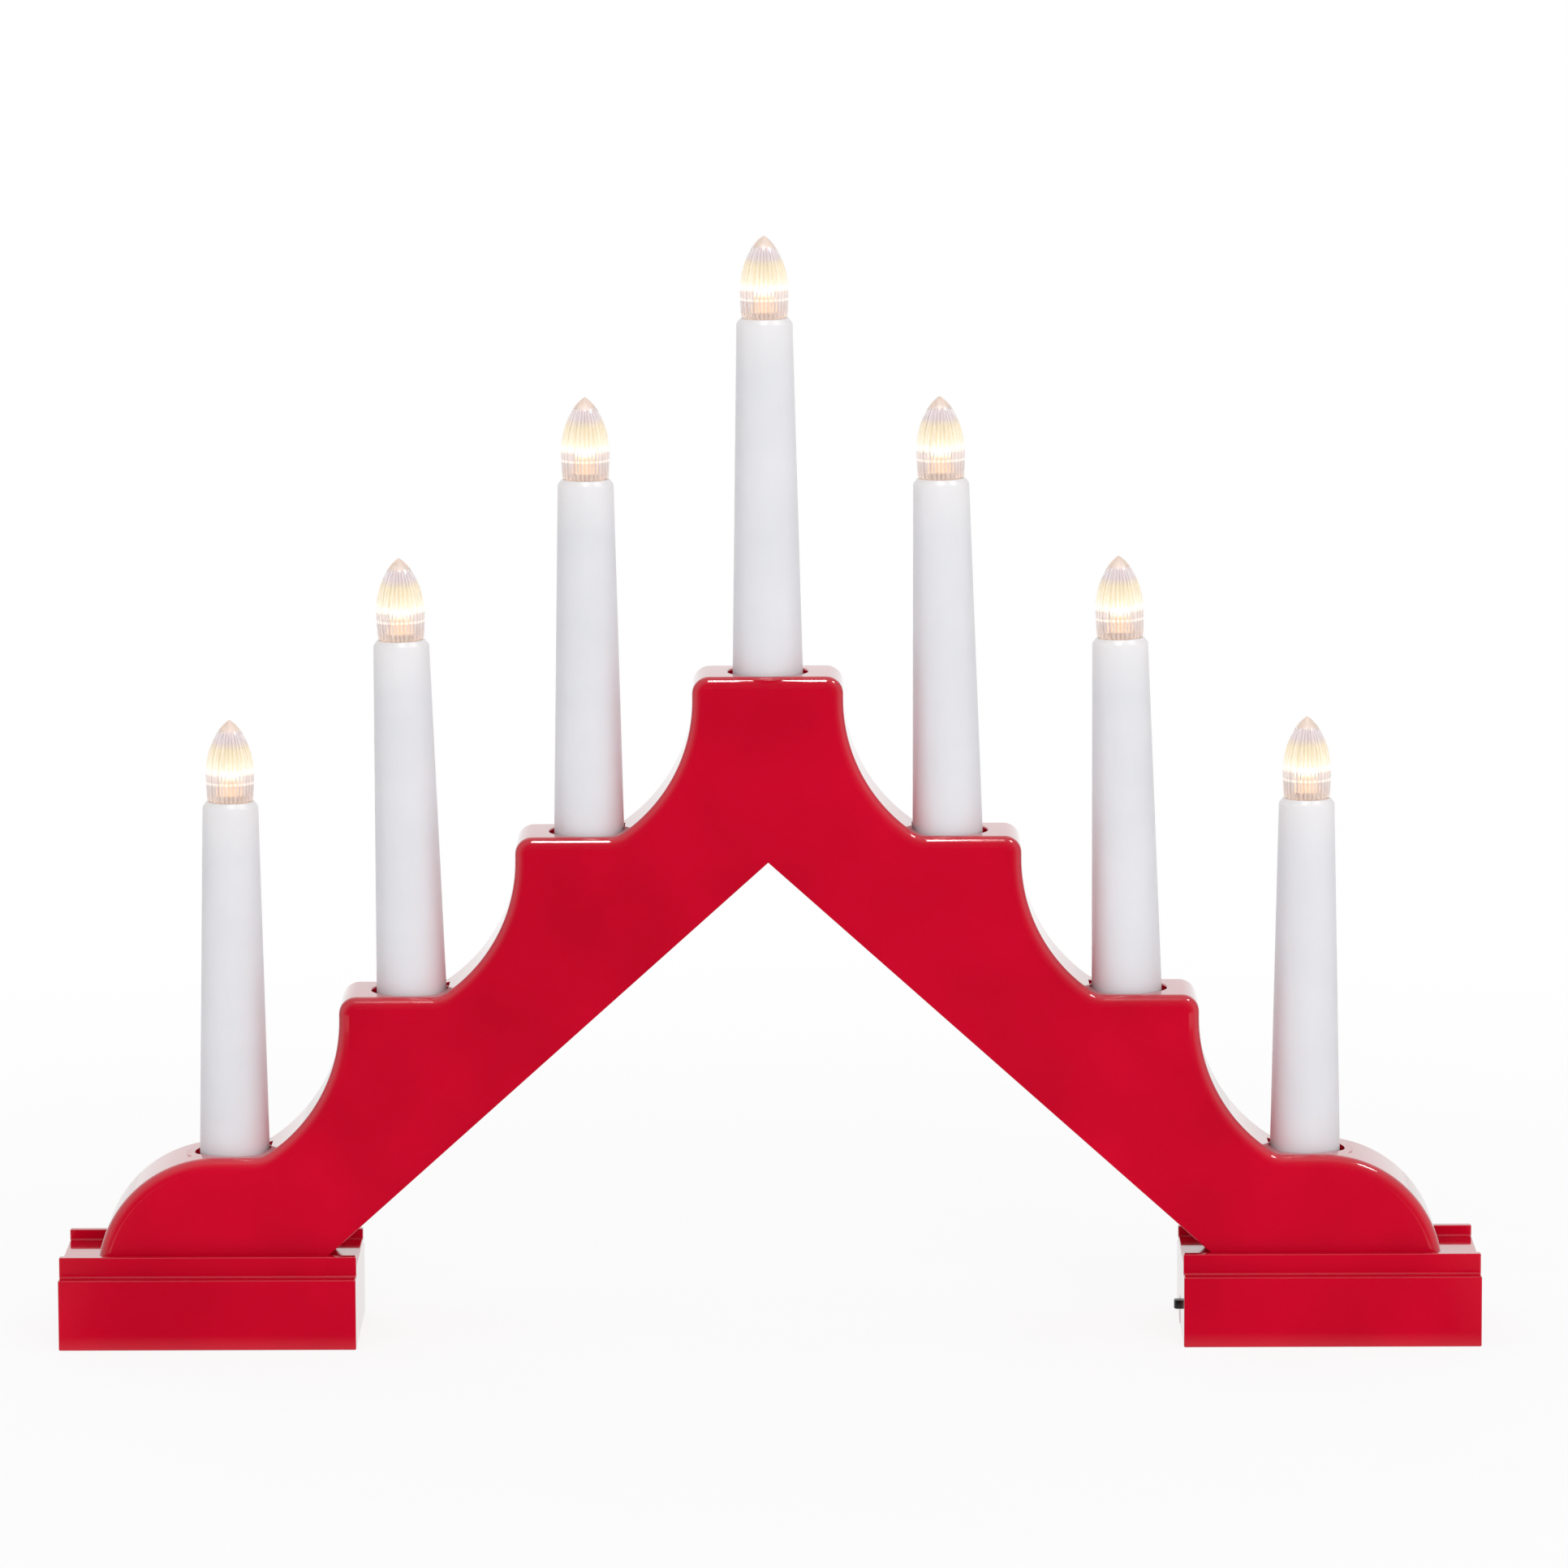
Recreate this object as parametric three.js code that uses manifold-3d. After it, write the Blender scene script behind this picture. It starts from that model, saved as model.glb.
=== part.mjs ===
// Advent candlestick: a stair shaped arch on two battery boxes, with seven electric candles.
// Millimetres, +Z up, the front faces -Y, and the origin is on the table under the middle.

import * as THREE from 'three';
import { mergeVertices } from 'three/addons/utils/BufferGeometryUtils.js';
import Module from 'manifold-3d';

const wasm = await Module();
wasm.setup();

// Clearances
const seatGap = 0.3;
const slideGap = 0.15;
const cellEndGap = 0.3;
const cellRoomGap = 0.6;
const cutPast = 1;

// Candles: a tapered tube with a spigot below, a stepped bore and a flame bulb on top
const candleCount = 7;
const candleBaseRadius = 7.4;
const candleTopRadius = 5.89;
const rimRadius = 5.01;
const rimHeight = 74.7;
const rimChamferHeight = 1.2;
const socketRadius = 4.4;
const socketDepth = 6;
const boreRadius = 4.9;
const spigotRadius = 6.3;
const spigotDepth = 9;
const spigotTaper = 0.5;
const snapBeadRadius = 7;
const snapBeadHeight = 1.2;
const candleSides = 12;
// How far the top of each candle leans to the right, in degrees
const candleLean = [-0.05, -1.15, -0.2, -0.3, -0.97, -1.13, 0.08];

// Wells that the candles stand in
const wellGap = 1.08;
const wellDepth = 3;
const wellFloor = 2;
const spigotHoleGap = 0.35;
const wellWall = 1.8;
const wellSides = 16;

// Flame bulbs
const bulbHeight = 17;
const bulbBaseRadius = 4.9;
const bulbRadius = 5.13;
const bulbWaist = 5.5;
const bulbWall = 0.95;
const bulbTipSolid = 2.3;
const bulbNeckGap = 0.2;
const bulbNeckDepth = 4.7;
const bulbSides = 12;

// Lamps and their holders
const lampRadius = 1.5;
const lampFlangeRadius = 1.9;
const lampFlangeHeight = 1;
const lampHeight = 4.7;
const lampPinSpacing = 2.54;
const lampPinWidth = 0.5;
const lampPinReach = 1;
const holderPostRadius = 2.7;
const holderPostRise = 1.2;
const holderFlangeHeight = 3;
const pinHoleGap = 0.3;
const lampSides = 8;
const holderSides = 10;

// Stair arch
const stepRun = 37.4;
const shelfRise = 33.88;
const candleDrift = 0.45;
const topShelfHalf = 15.9;
const shelfCornerRadius = 3.6;
const riserArcRadius = 34.4;
const riserArcDrop = 4.9;
const riserFootRadius = 5.5;
const legHeight = 22.35;
const lowRiseExtra = 0.4;
const endArcRadius = 25.4;
const endArcLead = 3.35;
const apexDrop = 39.24;
const archWall = 1.8;
const wellMargin = 1.92;
const mouldDraft = 2.4;
const edgeFillet = 2.1;
const stepsPerSide = (candleCount - 1) / 2;

// Strip that closes the arch from below, and the screws that hold it
const coverRecess = 2;
const coverThickness = 1.5;
const coverScrewLead = 10;
const bossRadius = 2.8;
const screwSides = 8;
const screwHeadRadius = 2.3;
const screwHeadHeight = 1.4;
const screwHeadFlatShare = 0.7;
const screwHeadEdgeShare = 0.4;
const screwShankRadius = 1.1;
const screwPilotGap = 0.25;
const screwHoleGap = 0.4;
const coverScrewLength = 10;
const legScrewLength = 11;
const legScrewSpread = 30.4;
const legScrewLead = 3.4;

// Battery cells and the bay that holds three of them
const cellRadius = 5.25;
const cellLength = 44.5;
const cellNubRadius = 1.9;
const cellNubLength = 1;
const cellPitch = 11.6;
const cellSideGap = 1.55;
const cellSides = 16;
const contactPlate = 0.4;
const contactLow = 3;
const contactHigh = 11.2;
const contactHalf = 4.2;
const springLength = 2.9;
const springWire = 0.35;
const springWideRadius = 3.2;
const springNarrowRadius = 2;
const springTurns = 2.25;
const springSides = 5;
const springSteps = 18;

// Feet
const footWall = 2;
const switchRoom = 8.75;
const partitionWall = 1.2;
const deckWall = 1.6;
const deckRise = 2.05;
const railRise = 2.15;
const railWidth = 2.25;
const railEndInset = 0.3;
const legSideGap = 1.55;
const footOverhang = 7.88;
const footCornerRadius = 1.2;
const lidLow = 0.3;
const lidThickness = 1.4;
const lidTongueHeight = 0.6;
const lidTongueReach = 0.9;
const lidEndInset = 0.2;
const thumbRidgeCount = 4;
const thumbRidgePitch = 1.8;
const thumbRidgeLead = 4;
const thumbRidgeHalf = 0.4;
const thumbRidgeHeight = 0.25;
const leadNotchHalf = 10.5;
const cornerNotch = 3.4;
const leadHoleRadius = 1.8;
const leadHoleY = 7.2;
const leadHoleShift = 0.4;
const leadHoleSides = 10;

// Slide switch in the inner end of the right foot
const switchY = 2.5;
const switchBodyHalf = 4;
const switchBodyLow = 1.6;
const switchBodyHigh = 7.3;
const switchBodyDepth = 3.8;
const switchPinReach = 2.5;
const switchPinPitch = 2.5;
const switchPinHalf = 0.35;
const knobHalfWidth = 1.3;
const knobHeight = 1.85;
const knobReach = 1.3;
const knobOnZ = 4.75;
const knobTravel = 1.8;
const stemHalfWidth = 0.7;
const stemHalfHeight = 0.6;
const stemDepth = 2;
const stemTrackGap = 0.25;
const slotHalf = 1.5;
const slotTop = 6.5;
const ribThickness = 1;

// Circuit board and resistor
const boardThickness = 1;
const boardStandoff = 0.8;
const boardFront = -15;
const boardBack = -3;
const boardLow = 3;
const boardHigh = 12;
const standoffWidth = 2;
const resistorRadius = 1;
const resistorLength = 5;
const resistorLead = 0.3;
const resistorLeadReach = 1;
const resistorBoardGap = 0.05;
const resistorSides = 8;

// Insulated leads
const leadRadius = 0.5;
const leadSides = 4;
const negativeRunY = 5;
const positiveRunY = 7.2;
const runRise = 6;

// Values that follow from the ones above
const candlePitch = stepRun + candleDrift;
const wellRadius = candleBaseRadius + wellGap;
const archTopHalf = wellRadius + wellMargin;
const archBaseHalf = archTopHalf + mouldDraft;
const channelHalf = archBaseHalf + legSideGap;
const railHalf = channelHalf + railWidth;
const footHalf = cellPitch + cellRadius + cellSideGap + footWall;
const lidTop = lidLow + lidThickness;
const cellAxisZ = lidTop + cellRoomGap + cellRadius;
const bayHalf = footHalf - footWall;
const bayCeiling = cellAxisZ + cellRadius + cellRoomGap;
const footBoxTop = bayCeiling + deckWall;
const deckTop = footBoxTop + deckRise;
const railTop = deckTop + railRise;
const deckCeiling = deckTop - deckWall;
const deckRoomHalf = railHalf - footWall;
const lowShelf = deckTop + legHeight;
const topShelf = lowShelf + stepsPerSide * shelfRise + lowRiseExtra;
const endArcX = stepsPerSide * candlePitch + endArcLead;
const endArcZ = lowShelf - endArcRadius;
const legEnd = endArcX + Math.sqrt(endArcRadius ** 2 - (deckTop - endArcZ) ** 2);
const footOuter = legEnd + footOverhang;
const bayLength = 2 * contactPlate + springLength + 2 * cellEndGap + cellLength;
const bayOuter = footOuter - footWall;
const bayInner = bayOuter - bayLength;
const switchRoomOuter = bayInner - partitionWall;
const switchRoomInner = switchRoomOuter - switchRoom;
const footInner = switchRoomInner - footWall;
const apex = topShelf - apexDrop;
const underSlope = shelfRise / candlePitch;
const underAngle = Math.atan(underSlope);
const coverUpper = coverRecess + coverThickness;

// Height of the shelf a number of steps from the middle
function shelfZ(step) {
  const steps = Math.abs(step);
  return topShelf - steps * shelfRise - (steps === stepsPerSide ? lowRiseExtra : 0);
}

// The two long faces of the arch lean together towards the top
function archHalf(z) {
  return archBaseHalf - mouldDraft * (z - deckTop) / (topShelf - deckTop);
}

// Height of a line that runs along the underside, a given distance above it
function underLine(x, offset) {
  return apex + offset / Math.cos(underAngle) - underSlope * Math.abs(x);
}

// Where such a line comes down to a given height
function underReach(z, offset) {
  return (apex + offset / Math.cos(underAngle) - z) / underSlope;
}

const legScrewInner = underReach(deckTop, coverUpper) + legScrewLead;
const legScrewPlaces = [legScrewInner, legScrewInner + legScrewSpread];
const leadHoleX = legScrewInner + leadHoleShift;

// Closed surfaces become solids, with their faces turned outwards
function solid(shape) {
  if (!shape.isBufferGeometry) return shape;
  const bare = shape.clone();
  bare.deleteAttribute('normal');
  bare.deleteAttribute('uv');
  const welded = mergeVertices(bare, 1e-4);
  const corners = welded.index.array;
  const points = welded.attributes.position;
  const triangles = [];
  let volume = 0;
  for (let i = 0; i < corners.length; i += 3) {
    const [a, b, c] = [corners[i], corners[i + 1], corners[i + 2]];
    if (a === b || b === c || c === a) continue;
    triangles.push([a, b, c]);
    const [first, second, third] = [a, b, c].map((k) => new THREE.Vector3().fromBufferAttribute(points, k));
    volume += first.dot(second.cross(third));
  }
  const outward = volume > 0 ? triangles : triangles.map(([a, b, c]) => [a, c, b]);
  return new wasm.Manifold(new wasm.Mesh({
    numProp: 3,
    vertProperties: new Float32Array(points.array),
    triVerts: new Uint32Array(outward.flat()),
  }));
}

function join(...shapes) {
  return shapes.map(solid).reduce((whole, next) => whole.add(next));
}

function cut(shape, ...tools) {
  return tools.map(solid).reduce((whole, next) => whole.subtract(next), solid(shape));
}

function common(shape, other) {
  return solid(shape).intersect(solid(other));
}

function surface(shape) {
  const mesh = solid(shape).getMesh();
  const geometry = new THREE.BufferGeometry();
  geometry.setAttribute('position', new THREE.BufferAttribute(new Float32Array(mesh.vertProperties), 3));
  geometry.setIndex(new THREE.BufferAttribute(new Uint32Array(mesh.triVerts), 1));
  geometry.computeVertexNormals();
  return geometry;
}

// The same piece on the other side of the middle
function mirrored(shape) {
  return surface(shape).scale(-1, 1, 1);
}

// Basic forms
function box([x0, x1], [y0, y1], [z0, z1]) {
  const block = new THREE.BoxGeometry(x1 - x0, y1 - y0, z1 - z0);
  return block.translate((x0 + x1) / 2, (y0 + y1) / 2, (z0 + z1) / 2);
}

function across(half, y = 0) {
  return [y - half, y + half];
}

// A form turned round the Z axis, from points of radius and height
function turned(outline, sides) {
  const points = outline.map(([radius, height]) => new THREE.Vector2(radius, height));
  return new THREE.LatheGeometry(points, sides).rotateX(Math.PI / 2);
}

function post(radius, [z0, z1], sides, x = 0, y = 0) {
  return turned([[0, z0], [radius, z0], [radius, z1], [0, z1]], sides).translate(x, y, 0);
}

// A flat outline in X and Z, with an equal depth on both sides of the middle
function slab(shape, half) {
  const plate = new THREE.ExtrudeGeometry(shape, { depth: 2 * half, bevelEnabled: false });
  return plate.translate(0, 0, -half).rotateX(Math.PI / 2);
}

function polygon(points) {
  return new THREE.Shape(points.map(([x, z]) => new THREE.Vector2(x, z)));
}

// Upright block with rounded vertical edges
function roundedBlock([x0, x1], half, [z0, z1], radius) {
  const shape = new THREE.Shape();
  shape.absarc(x1 - radius, half - radius, radius, 0, Math.PI / 2);
  shape.absarc(x0 + radius, half - radius, radius, Math.PI / 2, Math.PI);
  shape.absarc(x0 + radius, radius - half, radius, Math.PI, 1.5 * Math.PI);
  shape.absarc(x1 - radius, radius - half, radius, 1.5 * Math.PI, 2 * Math.PI);
  const block = new THREE.ExtrudeGeometry(shape, { depth: z1 - z0, bevelEnabled: false, curveSegments: 2 });
  return block.translate(0, 0, z0);
}

// A lead of round section along a line or curve
function ring(radius, sides) {
  const corners = Array.from({ length: sides }, (_, i) => {
    const turn = 2 * Math.PI * i / sides;
    return new THREE.Vector2(radius * Math.cos(turn), radius * Math.sin(turn));
  });
  return new THREE.Shape(corners);
}

function lead(points, steps) {
  const places = points.map((place) => new THREE.Vector3(...place));
  const path = places.length === 2
    ? new THREE.LineCurve3(...places)
    : new THREE.CatmullRomCurve3(places, false, 'centripetal');
  return new THREE.ExtrudeGeometry(ring(leadRadius, leadSides), { steps, extrudePath: path });
}

// Draws the long faces of an arch piece in towards the top, keeping its edge fillets
function leanFaces(geometry, builtHalf, inset) {
  const points = geometry.attributes.position;
  for (let i = 0; i < points.count; i += 1) {
    const share = (archHalf(points.getZ(i)) - inset) / builtHalf;
    points.setY(i, points.getY(i) * share);
  }
  return geometry;
}

// Points of an arc in X and Z, angles in degrees
function arc(x, z, radius, from, to, steps) {
  return Array.from({ length: steps + 1 }, (_, i) => {
    const turn = THREE.MathUtils.degToRad(from + (to - from) * i / steps);
    return [x + radius * Math.cos(turn), z + radius * Math.sin(turn)];
  });
}

// Stair outline from the top shelf down the right side, drawn in by the wall thickness if need be
function stairSide(inset) {
  const points = [];
  for (let step = 0; step < stepsPerSide; step += 1) {
    const shelf = shelfZ(step);
    const edge = topShelfHalf + step * stepRun;
    const corner = shelfCornerRadius;
    points.push(...arc(edge - corner, shelf - corner, corner - inset, 90, 0, 4));
    const arcX = edge + riserArcRadius;
    const arcZ = shelf - riserArcDrop;
    const footZ = shelfZ(step + 1) + riserFootRadius;
    const footReach = riserArcRadius - riserFootRadius;
    const footX = arcX - Math.sqrt(footReach ** 2 - (arcZ - footZ) ** 2);
    const meet = THREE.MathUtils.radToDeg(Math.atan2(arcZ - footZ, arcX - footX));
    points.push(...arc(arcX, arcZ, riserArcRadius + inset, 180, 180 + meet, 6));
    points.push(...arc(footX, footZ, riserFootRadius + inset, 180 + meet, 270, 2).slice(1));
  }
  const low = endArcZ - 3 * edgeFillet;
  points.push(...arc(endArcX, endArcZ, endArcRadius - inset, 90, 0, 7));
  points.push([endArcX + endArcRadius - inset, low]);
  return points;
}

function stairOutline(inset) {
  const right = stairSide(inset);
  const left = right.map(([x, z]) => [-x, z]).reverse();
  return polygon([...left, ...right]);
}

// The stair arch, solid, with its front and back edges rounded
function archBlock() {
  const shape = stairOutline(0);
  const half = archBaseHalf;
  const block = new THREE.ExtrudeGeometry(shape, {
    depth: 2 * (half - edgeFillet),
    bevelThickness: edgeFillet,
    bevelSize: edgeFillet,
    bevelOffset: -edgeFillet,
    bevelSegments: 2,
  });
  block.translate(0, 0, edgeFillet - half).rotateX(Math.PI / 2);
  return leanFaces(block, half, 0);
}

function archCore() {
  const half = archBaseHalf - archWall;
  return leanFaces(slab(stairOutline(archWall), half), half, archWall);
}

// Everything under the arch and below the feet's decks
function underArch() {
  const reach = underReach(0, 0);
  const triangle = polygon([[-reach, 0], [0, apex], [reach, 0]]);
  const below = box(across(footOuter), across(footHalf), [0, deckTop]);
  return join(slab(triangle, footHalf), below);
}

const candleX = (step) => step * candlePitch;
const candleSteps = Array.from({ length: candleCount }, (_, i) => i - stepsPerSide);

// Puts an upright form, built from height 0, square to the underside's slope, above it by an offset
function onSlope(geometry, x, offset) {
  const lean = Math.sign(x) * underAngle;
  return geometry.translate(0, 0, offset).rotateY(lean).translate(x, 0, underLine(x, 0));
}

const coverScrewReaches = [0, 2].map((step) => coverScrewLead + step * stepRun);
const coverScrewPlaces = coverScrewReaches.flatMap((x) => [-x, x]);
const pilotRadius = screwShankRadius + screwPilotGap;
const screwHoleRadius = screwShankRadius + screwHoleGap;

function archShell() {
  const block = cut(archBlock(), underArch());
  let shell = cut(block, archCore());
  const holes = [];
  for (const step of candleSteps) {
    const floor = shelfZ(step) - wellDepth;
    const range = [floor - wellFloor, shelfZ(step) + wellDepth];
    const well = post(wellRadius + wellWall, range, wellSides, candleX(step));
    shell = join(shell, common(well, block));
    holes.push(post(wellRadius, [floor, shelfZ(step) + 2 * wellDepth], wellSides, candleX(step)));
    const spigotHole = spigotRadius + spigotHoleGap;
    holes.push(post(spigotHole, [floor - 2 * wellFloor, floor + wellFloor], wellSides, candleX(step)));
  }
  for (const x of coverScrewPlaces) {
    const boss = onSlope(post(bossRadius, [0, shelfRise], screwSides), x, coverUpper + seatGap);
    shell = join(shell, common(boss, block));
    holes.push(onSlope(post(pilotRadius, [-cutPast, coverScrewLength], screwSides), x, coverUpper + seatGap));
  }
  for (const side of [-1, 1]) {
    for (const x of legScrewPlaces) {
      const boss = post(bossRadius, [deckTop, lowShelf], screwSides, side * x);
      shell = join(shell, common(boss, block));
      const bore = [deckTop - cutPast, deckTop + legScrewLength];
      holes.push(post(pilotRadius, bore, screwSides, side * x));
    }
  }
  return cut(shell, ...holes);
}

function undersideCover() {
  const foot = deckTop + seatGap;
  const outer = underReach(foot, coverUpper);
  const inner = underReach(foot, coverRecess);
  const strip = polygon([
    [-inner, foot],
    [0, underLine(0, coverRecess)],
    [inner, foot],
    [outer, foot],
    [0, underLine(0, coverUpper)],
    [-outer, foot],
  ]);
  const half = archBaseHalf;
  const plate = leanFaces(slab(strip, half), half, archWall + seatGap);
  const holes = coverScrewPlaces.map((x) => (
    onSlope(post(screwHoleRadius, [-cutPast, coverThickness + cutPast], screwSides), x, coverRecess)
  ));
  return cut(plate, ...holes);
}

// Self-tapping screw, its head's underside at height 0 and its shank upwards
function screw(length) {
  return turned([
    [0, -screwHeadHeight],
    [screwHeadRadius * screwHeadFlatShare, -screwHeadHeight],
    [screwHeadRadius, -screwHeadHeight * screwHeadEdgeShare],
    [screwHeadRadius, 0],
    [screwShankRadius, 0],
    [screwShankRadius, length - screwShankRadius],
    [0, length],
  ], screwSides);
}

// Candle pieces, built with the shelf at height 0 on the candle's own axis
function candleTube() {
  const shoulder = seatGap - wellDepth;
  const bead = -wellDepth - wellFloor - seatGap;
  const outline = [
    [boreRadius, -spigotDepth],
    [spigotRadius - spigotTaper, -spigotDepth],
    [spigotRadius, bead - snapBeadHeight],
    [snapBeadRadius, bead - snapBeadHeight / 2],
    [spigotRadius, bead],
    [spigotRadius, shoulder],
    [candleBaseRadius, shoulder],
    [candleBaseRadius, 0],
    [candleTopRadius, rimHeight - rimChamferHeight],
    [rimRadius, rimHeight],
    [socketRadius, rimHeight],
    [socketRadius, rimHeight - socketDepth],
    [boreRadius, rimHeight - socketDepth],
    [boreRadius, -spigotDepth],
  ];
  return turned(outline, candleSides);
}

function lampHolder() {
  const flangeTop = rimHeight - socketDepth - seatGap;
  const low = flangeTop - holderFlangeHeight;
  const high = rimHeight + holderPostRise;
  const flangeRadius = boreRadius - seatGap;
  const blank = turned([
    [0, low],
    [flangeRadius, low],
    [flangeRadius, flangeTop],
    [holderPostRadius, flangeTop],
    [holderPostRadius, high],
    [0, high],
  ], holderSides);
  const hole = lampPinWidth / 2 + pinHoleGap;
  const holes = [-1, 1].map((side) => (
    box(across(hole, side * lampPinSpacing / 2), across(hole), [low - cutPast, high + cutPast])
  ));
  return cut(blank, ...holes);
}

const lampLow = rimHeight + holderPostRise + seatGap;
const pinLow = rimHeight - socketDepth - seatGap - holderFlangeHeight - lampPinReach;

function lamp() {
  const dome = arc(0, lampLow + lampHeight - lampRadius, lampRadius, 0, 90, 2);
  const body = turned([
    [0, lampLow],
    [lampFlangeRadius, lampLow],
    [lampFlangeRadius, lampLow + lampFlangeHeight],
    [lampRadius, lampLow + lampFlangeHeight],
    ...dome.slice(0, -1),
    [0, lampLow + lampHeight],
  ], lampSides);
  const pins = [-1, 1].map((side) => (
    box(
      across(lampPinWidth / 2, side * lampPinSpacing / 2),
      across(lampPinWidth / 2),
      [pinLow, lampLow + lampFlangeHeight / 2],
    )
  ));
  return join(body, ...pins);
}

// The flame: a straight neck, a slight belly and a curve that closes in the tip
function flameCurve(radius, waist, tip, steps) {
  const rise = tip - waist;
  const curve = new THREE.CubicBezierCurve(
    new THREE.Vector2(radius, waist),
    new THREE.Vector2(radius, waist + 0.44 * rise),
    new THREE.Vector2(radius / 2, waist + 0.88 * rise),
    new THREE.Vector2(0, tip),
  );
  return curve.getPoints(steps).map((point) => [point.x, point.y]);
}

function flameBulb() {
  const base = rimHeight + seatGap;
  const neck = socketRadius - bulbNeckGap;
  const neckBore = neck - bulbWall;
  const waist = base + bulbWaist;
  const outer = flameCurve(bulbRadius, waist, base + bulbHeight, 5);
  const inner = flameCurve(bulbRadius - bulbWall, waist, base + bulbHeight - bulbTipSolid, 4);
  return turned([
    ...inner.reverse(),
    [bulbBaseRadius - bulbWall, base + bulbWall],
    [neckBore, base],
    [neckBore, base - bulbNeckDepth],
    [neck, base - bulbNeckDepth],
    [neck, base],
    [bulbBaseRadius, base],
    ...outer,
  ], bulbSides);
}

// Feet, built for the right side
function footHousing(withSwitch) {
  const lower = roundedBlock([footInner, footOuter], footHalf, [0, footBoxTop], footCornerRadius);
  const upperX = [footInner + railEndInset, footOuter - railEndInset];
  const upper = roundedBlock(upperX, railHalf, [footBoxTop - cutPast, railTop], footCornerRadius);
  const openX = [footInner - cutPast, footOuter + cutPast];
  const partitionX = [switchRoomOuter - cutPast, bayInner + cutPast];
  const lidRoom = lidTop + slideGap;
  const tongueLow = lidTop - lidTongueHeight - slideGap;
  const rooms = [[switchRoomInner, switchRoomOuter], [bayInner, bayOuter]];
  const throughDeck = [deckCeiling - cutPast, deckTop + cutPast];
  const cuts = [
    box(openX, across(channelHalf), [deckTop, railTop + cutPast]),
    box(partitionX, across(bayHalf), [-cutPast, lidTop + seatGap]),
    box(partitionX, across(leadNotchHalf), [contactHigh, deckCeiling]),
    box(partitionX, [bayHalf - cornerNotch, bayHalf], [bayCeiling - cornerNotch, bayCeiling]),
    box([switchRoomInner, footOuter + cutPast], across(bayHalf + lidTongueReach), [tongueLow, lidRoom]),
    box([bayInner, footOuter + cutPast], across(bayHalf), [-cutPast, lidRoom]),
    post(leadHoleRadius, throughDeck, leadHoleSides, leadHoleX, leadHoleY),
  ];
  for (const room of rooms) {
    cuts.push(box(room, across(bayHalf), [-cutPast, bayCeiling]));
    cuts.push(box(room, across(deckRoomHalf), [bayCeiling - cutPast, deckCeiling]));
  }
  for (const x of legScrewPlaces) {
    cuts.push(post(screwHoleRadius, throughDeck, screwSides, x));
  }
  const shell = cut(join(lower, upper), ...cuts);
  if (!withSwitch) return shell;
  const ribs = [-1, 1].map((side) => {
    const y = switchY + side * (switchBodyHalf + seatGap + ribThickness / 2);
    const x = [switchRoomInner - cutPast, switchRoomInner + switchBodyDepth];
    return box(x, across(ribThickness / 2, y), [lidTop + seatGap, footBoxTop]);
  });
  const standoffX = [switchRoomOuter - boardStandoff, switchRoomOuter + partitionWall / 2];
  const standoffs = [boardFront, boardBack - standoffWidth].map((y) => (
    box(standoffX, [y, y + standoffWidth], [boardLow, contactHigh])
  ));
  const slotX = [footInner - cutPast, switchRoomInner];
  const slot = box(slotX, across(slotHalf, switchY), [-cutPast, slotTop]);
  return cut(join(shell, ...ribs, ...standoffs), slot);
}

// A plate that closes the foot from below, with a tongue along each long edge
function bottomPlate(range) {
  const panel = box(range, across(bayHalf - seatGap), [lidLow, lidTop]);
  const tongues = box(range, across(bayHalf + lidTongueReach - seatGap), [lidTop - lidTongueHeight, lidTop]);
  return join(panel, tongues);
}

function compartmentCover(withSwitch) {
  const plate = bottomPlate([switchRoomInner + seatGap, bayInner - seatGap]);
  if (!withSwitch) return plate;
  const notchX = [switchRoomInner, switchRoomInner + switchBodyDepth + seatGap];
  return cut(plate, box(notchX, across(switchBodyHalf + seatGap, switchY), [0, lidTop + cutPast]));
}

function batteryLid() {
  const outerEnd = footOuter - lidEndInset;
  const plate = bottomPlate([bayInner, outerEnd]);
  const ridges = Array.from({ length: thumbRidgeCount }, (_, i) => {
    const x = outerEnd - thumbRidgeLead - i * thumbRidgePitch;
    const z = [lidLow - thumbRidgeHeight, lidLow + lidThickness / 2];
    return box(across(thumbRidgeHalf, x), across(cellPitch / 2), z);
  });
  return join(plate, ...ridges);
}

// A cell with its nub towards +X or -X
function batteryCell(y, nubSide) {
  const low = bayInner + contactPlate + (nubSide > 0 ? springLength + cellEndGap : cellEndGap);
  const cell = turned([
    [0, 0],
    [cellRadius, 0],
    [cellRadius, cellLength - cellNubLength],
    [cellNubRadius, cellLength - cellNubLength],
    [cellNubRadius, cellLength],
    [0, cellLength],
  ], cellSides).rotateY(nubSide * Math.PI / 2);
  return cell.translate(nubSide > 0 ? low : low + cellLength, y, cellAxisZ);
}

// Conical battery spring, wound round a line along X
class SpringCurve extends THREE.Curve {
  constructor(x, side, y) {
    super();
    this.x = x;
    this.side = side;
    this.y = y;
  }

  getPoint(share, target = new THREE.Vector3()) {
    const turn = 2 * Math.PI * springTurns * share;
    const radius = springWideRadius + (springNarrowRadius - springWideRadius) * share;
    const start = springWire - contactPlate;
    const reach = start + (springLength - springWire - start) * share;
    return target.set(
      this.x + this.side * reach,
      this.y + radius * Math.cos(turn),
      cellAxisZ + radius * Math.sin(turn),
    );
  }
}

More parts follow.
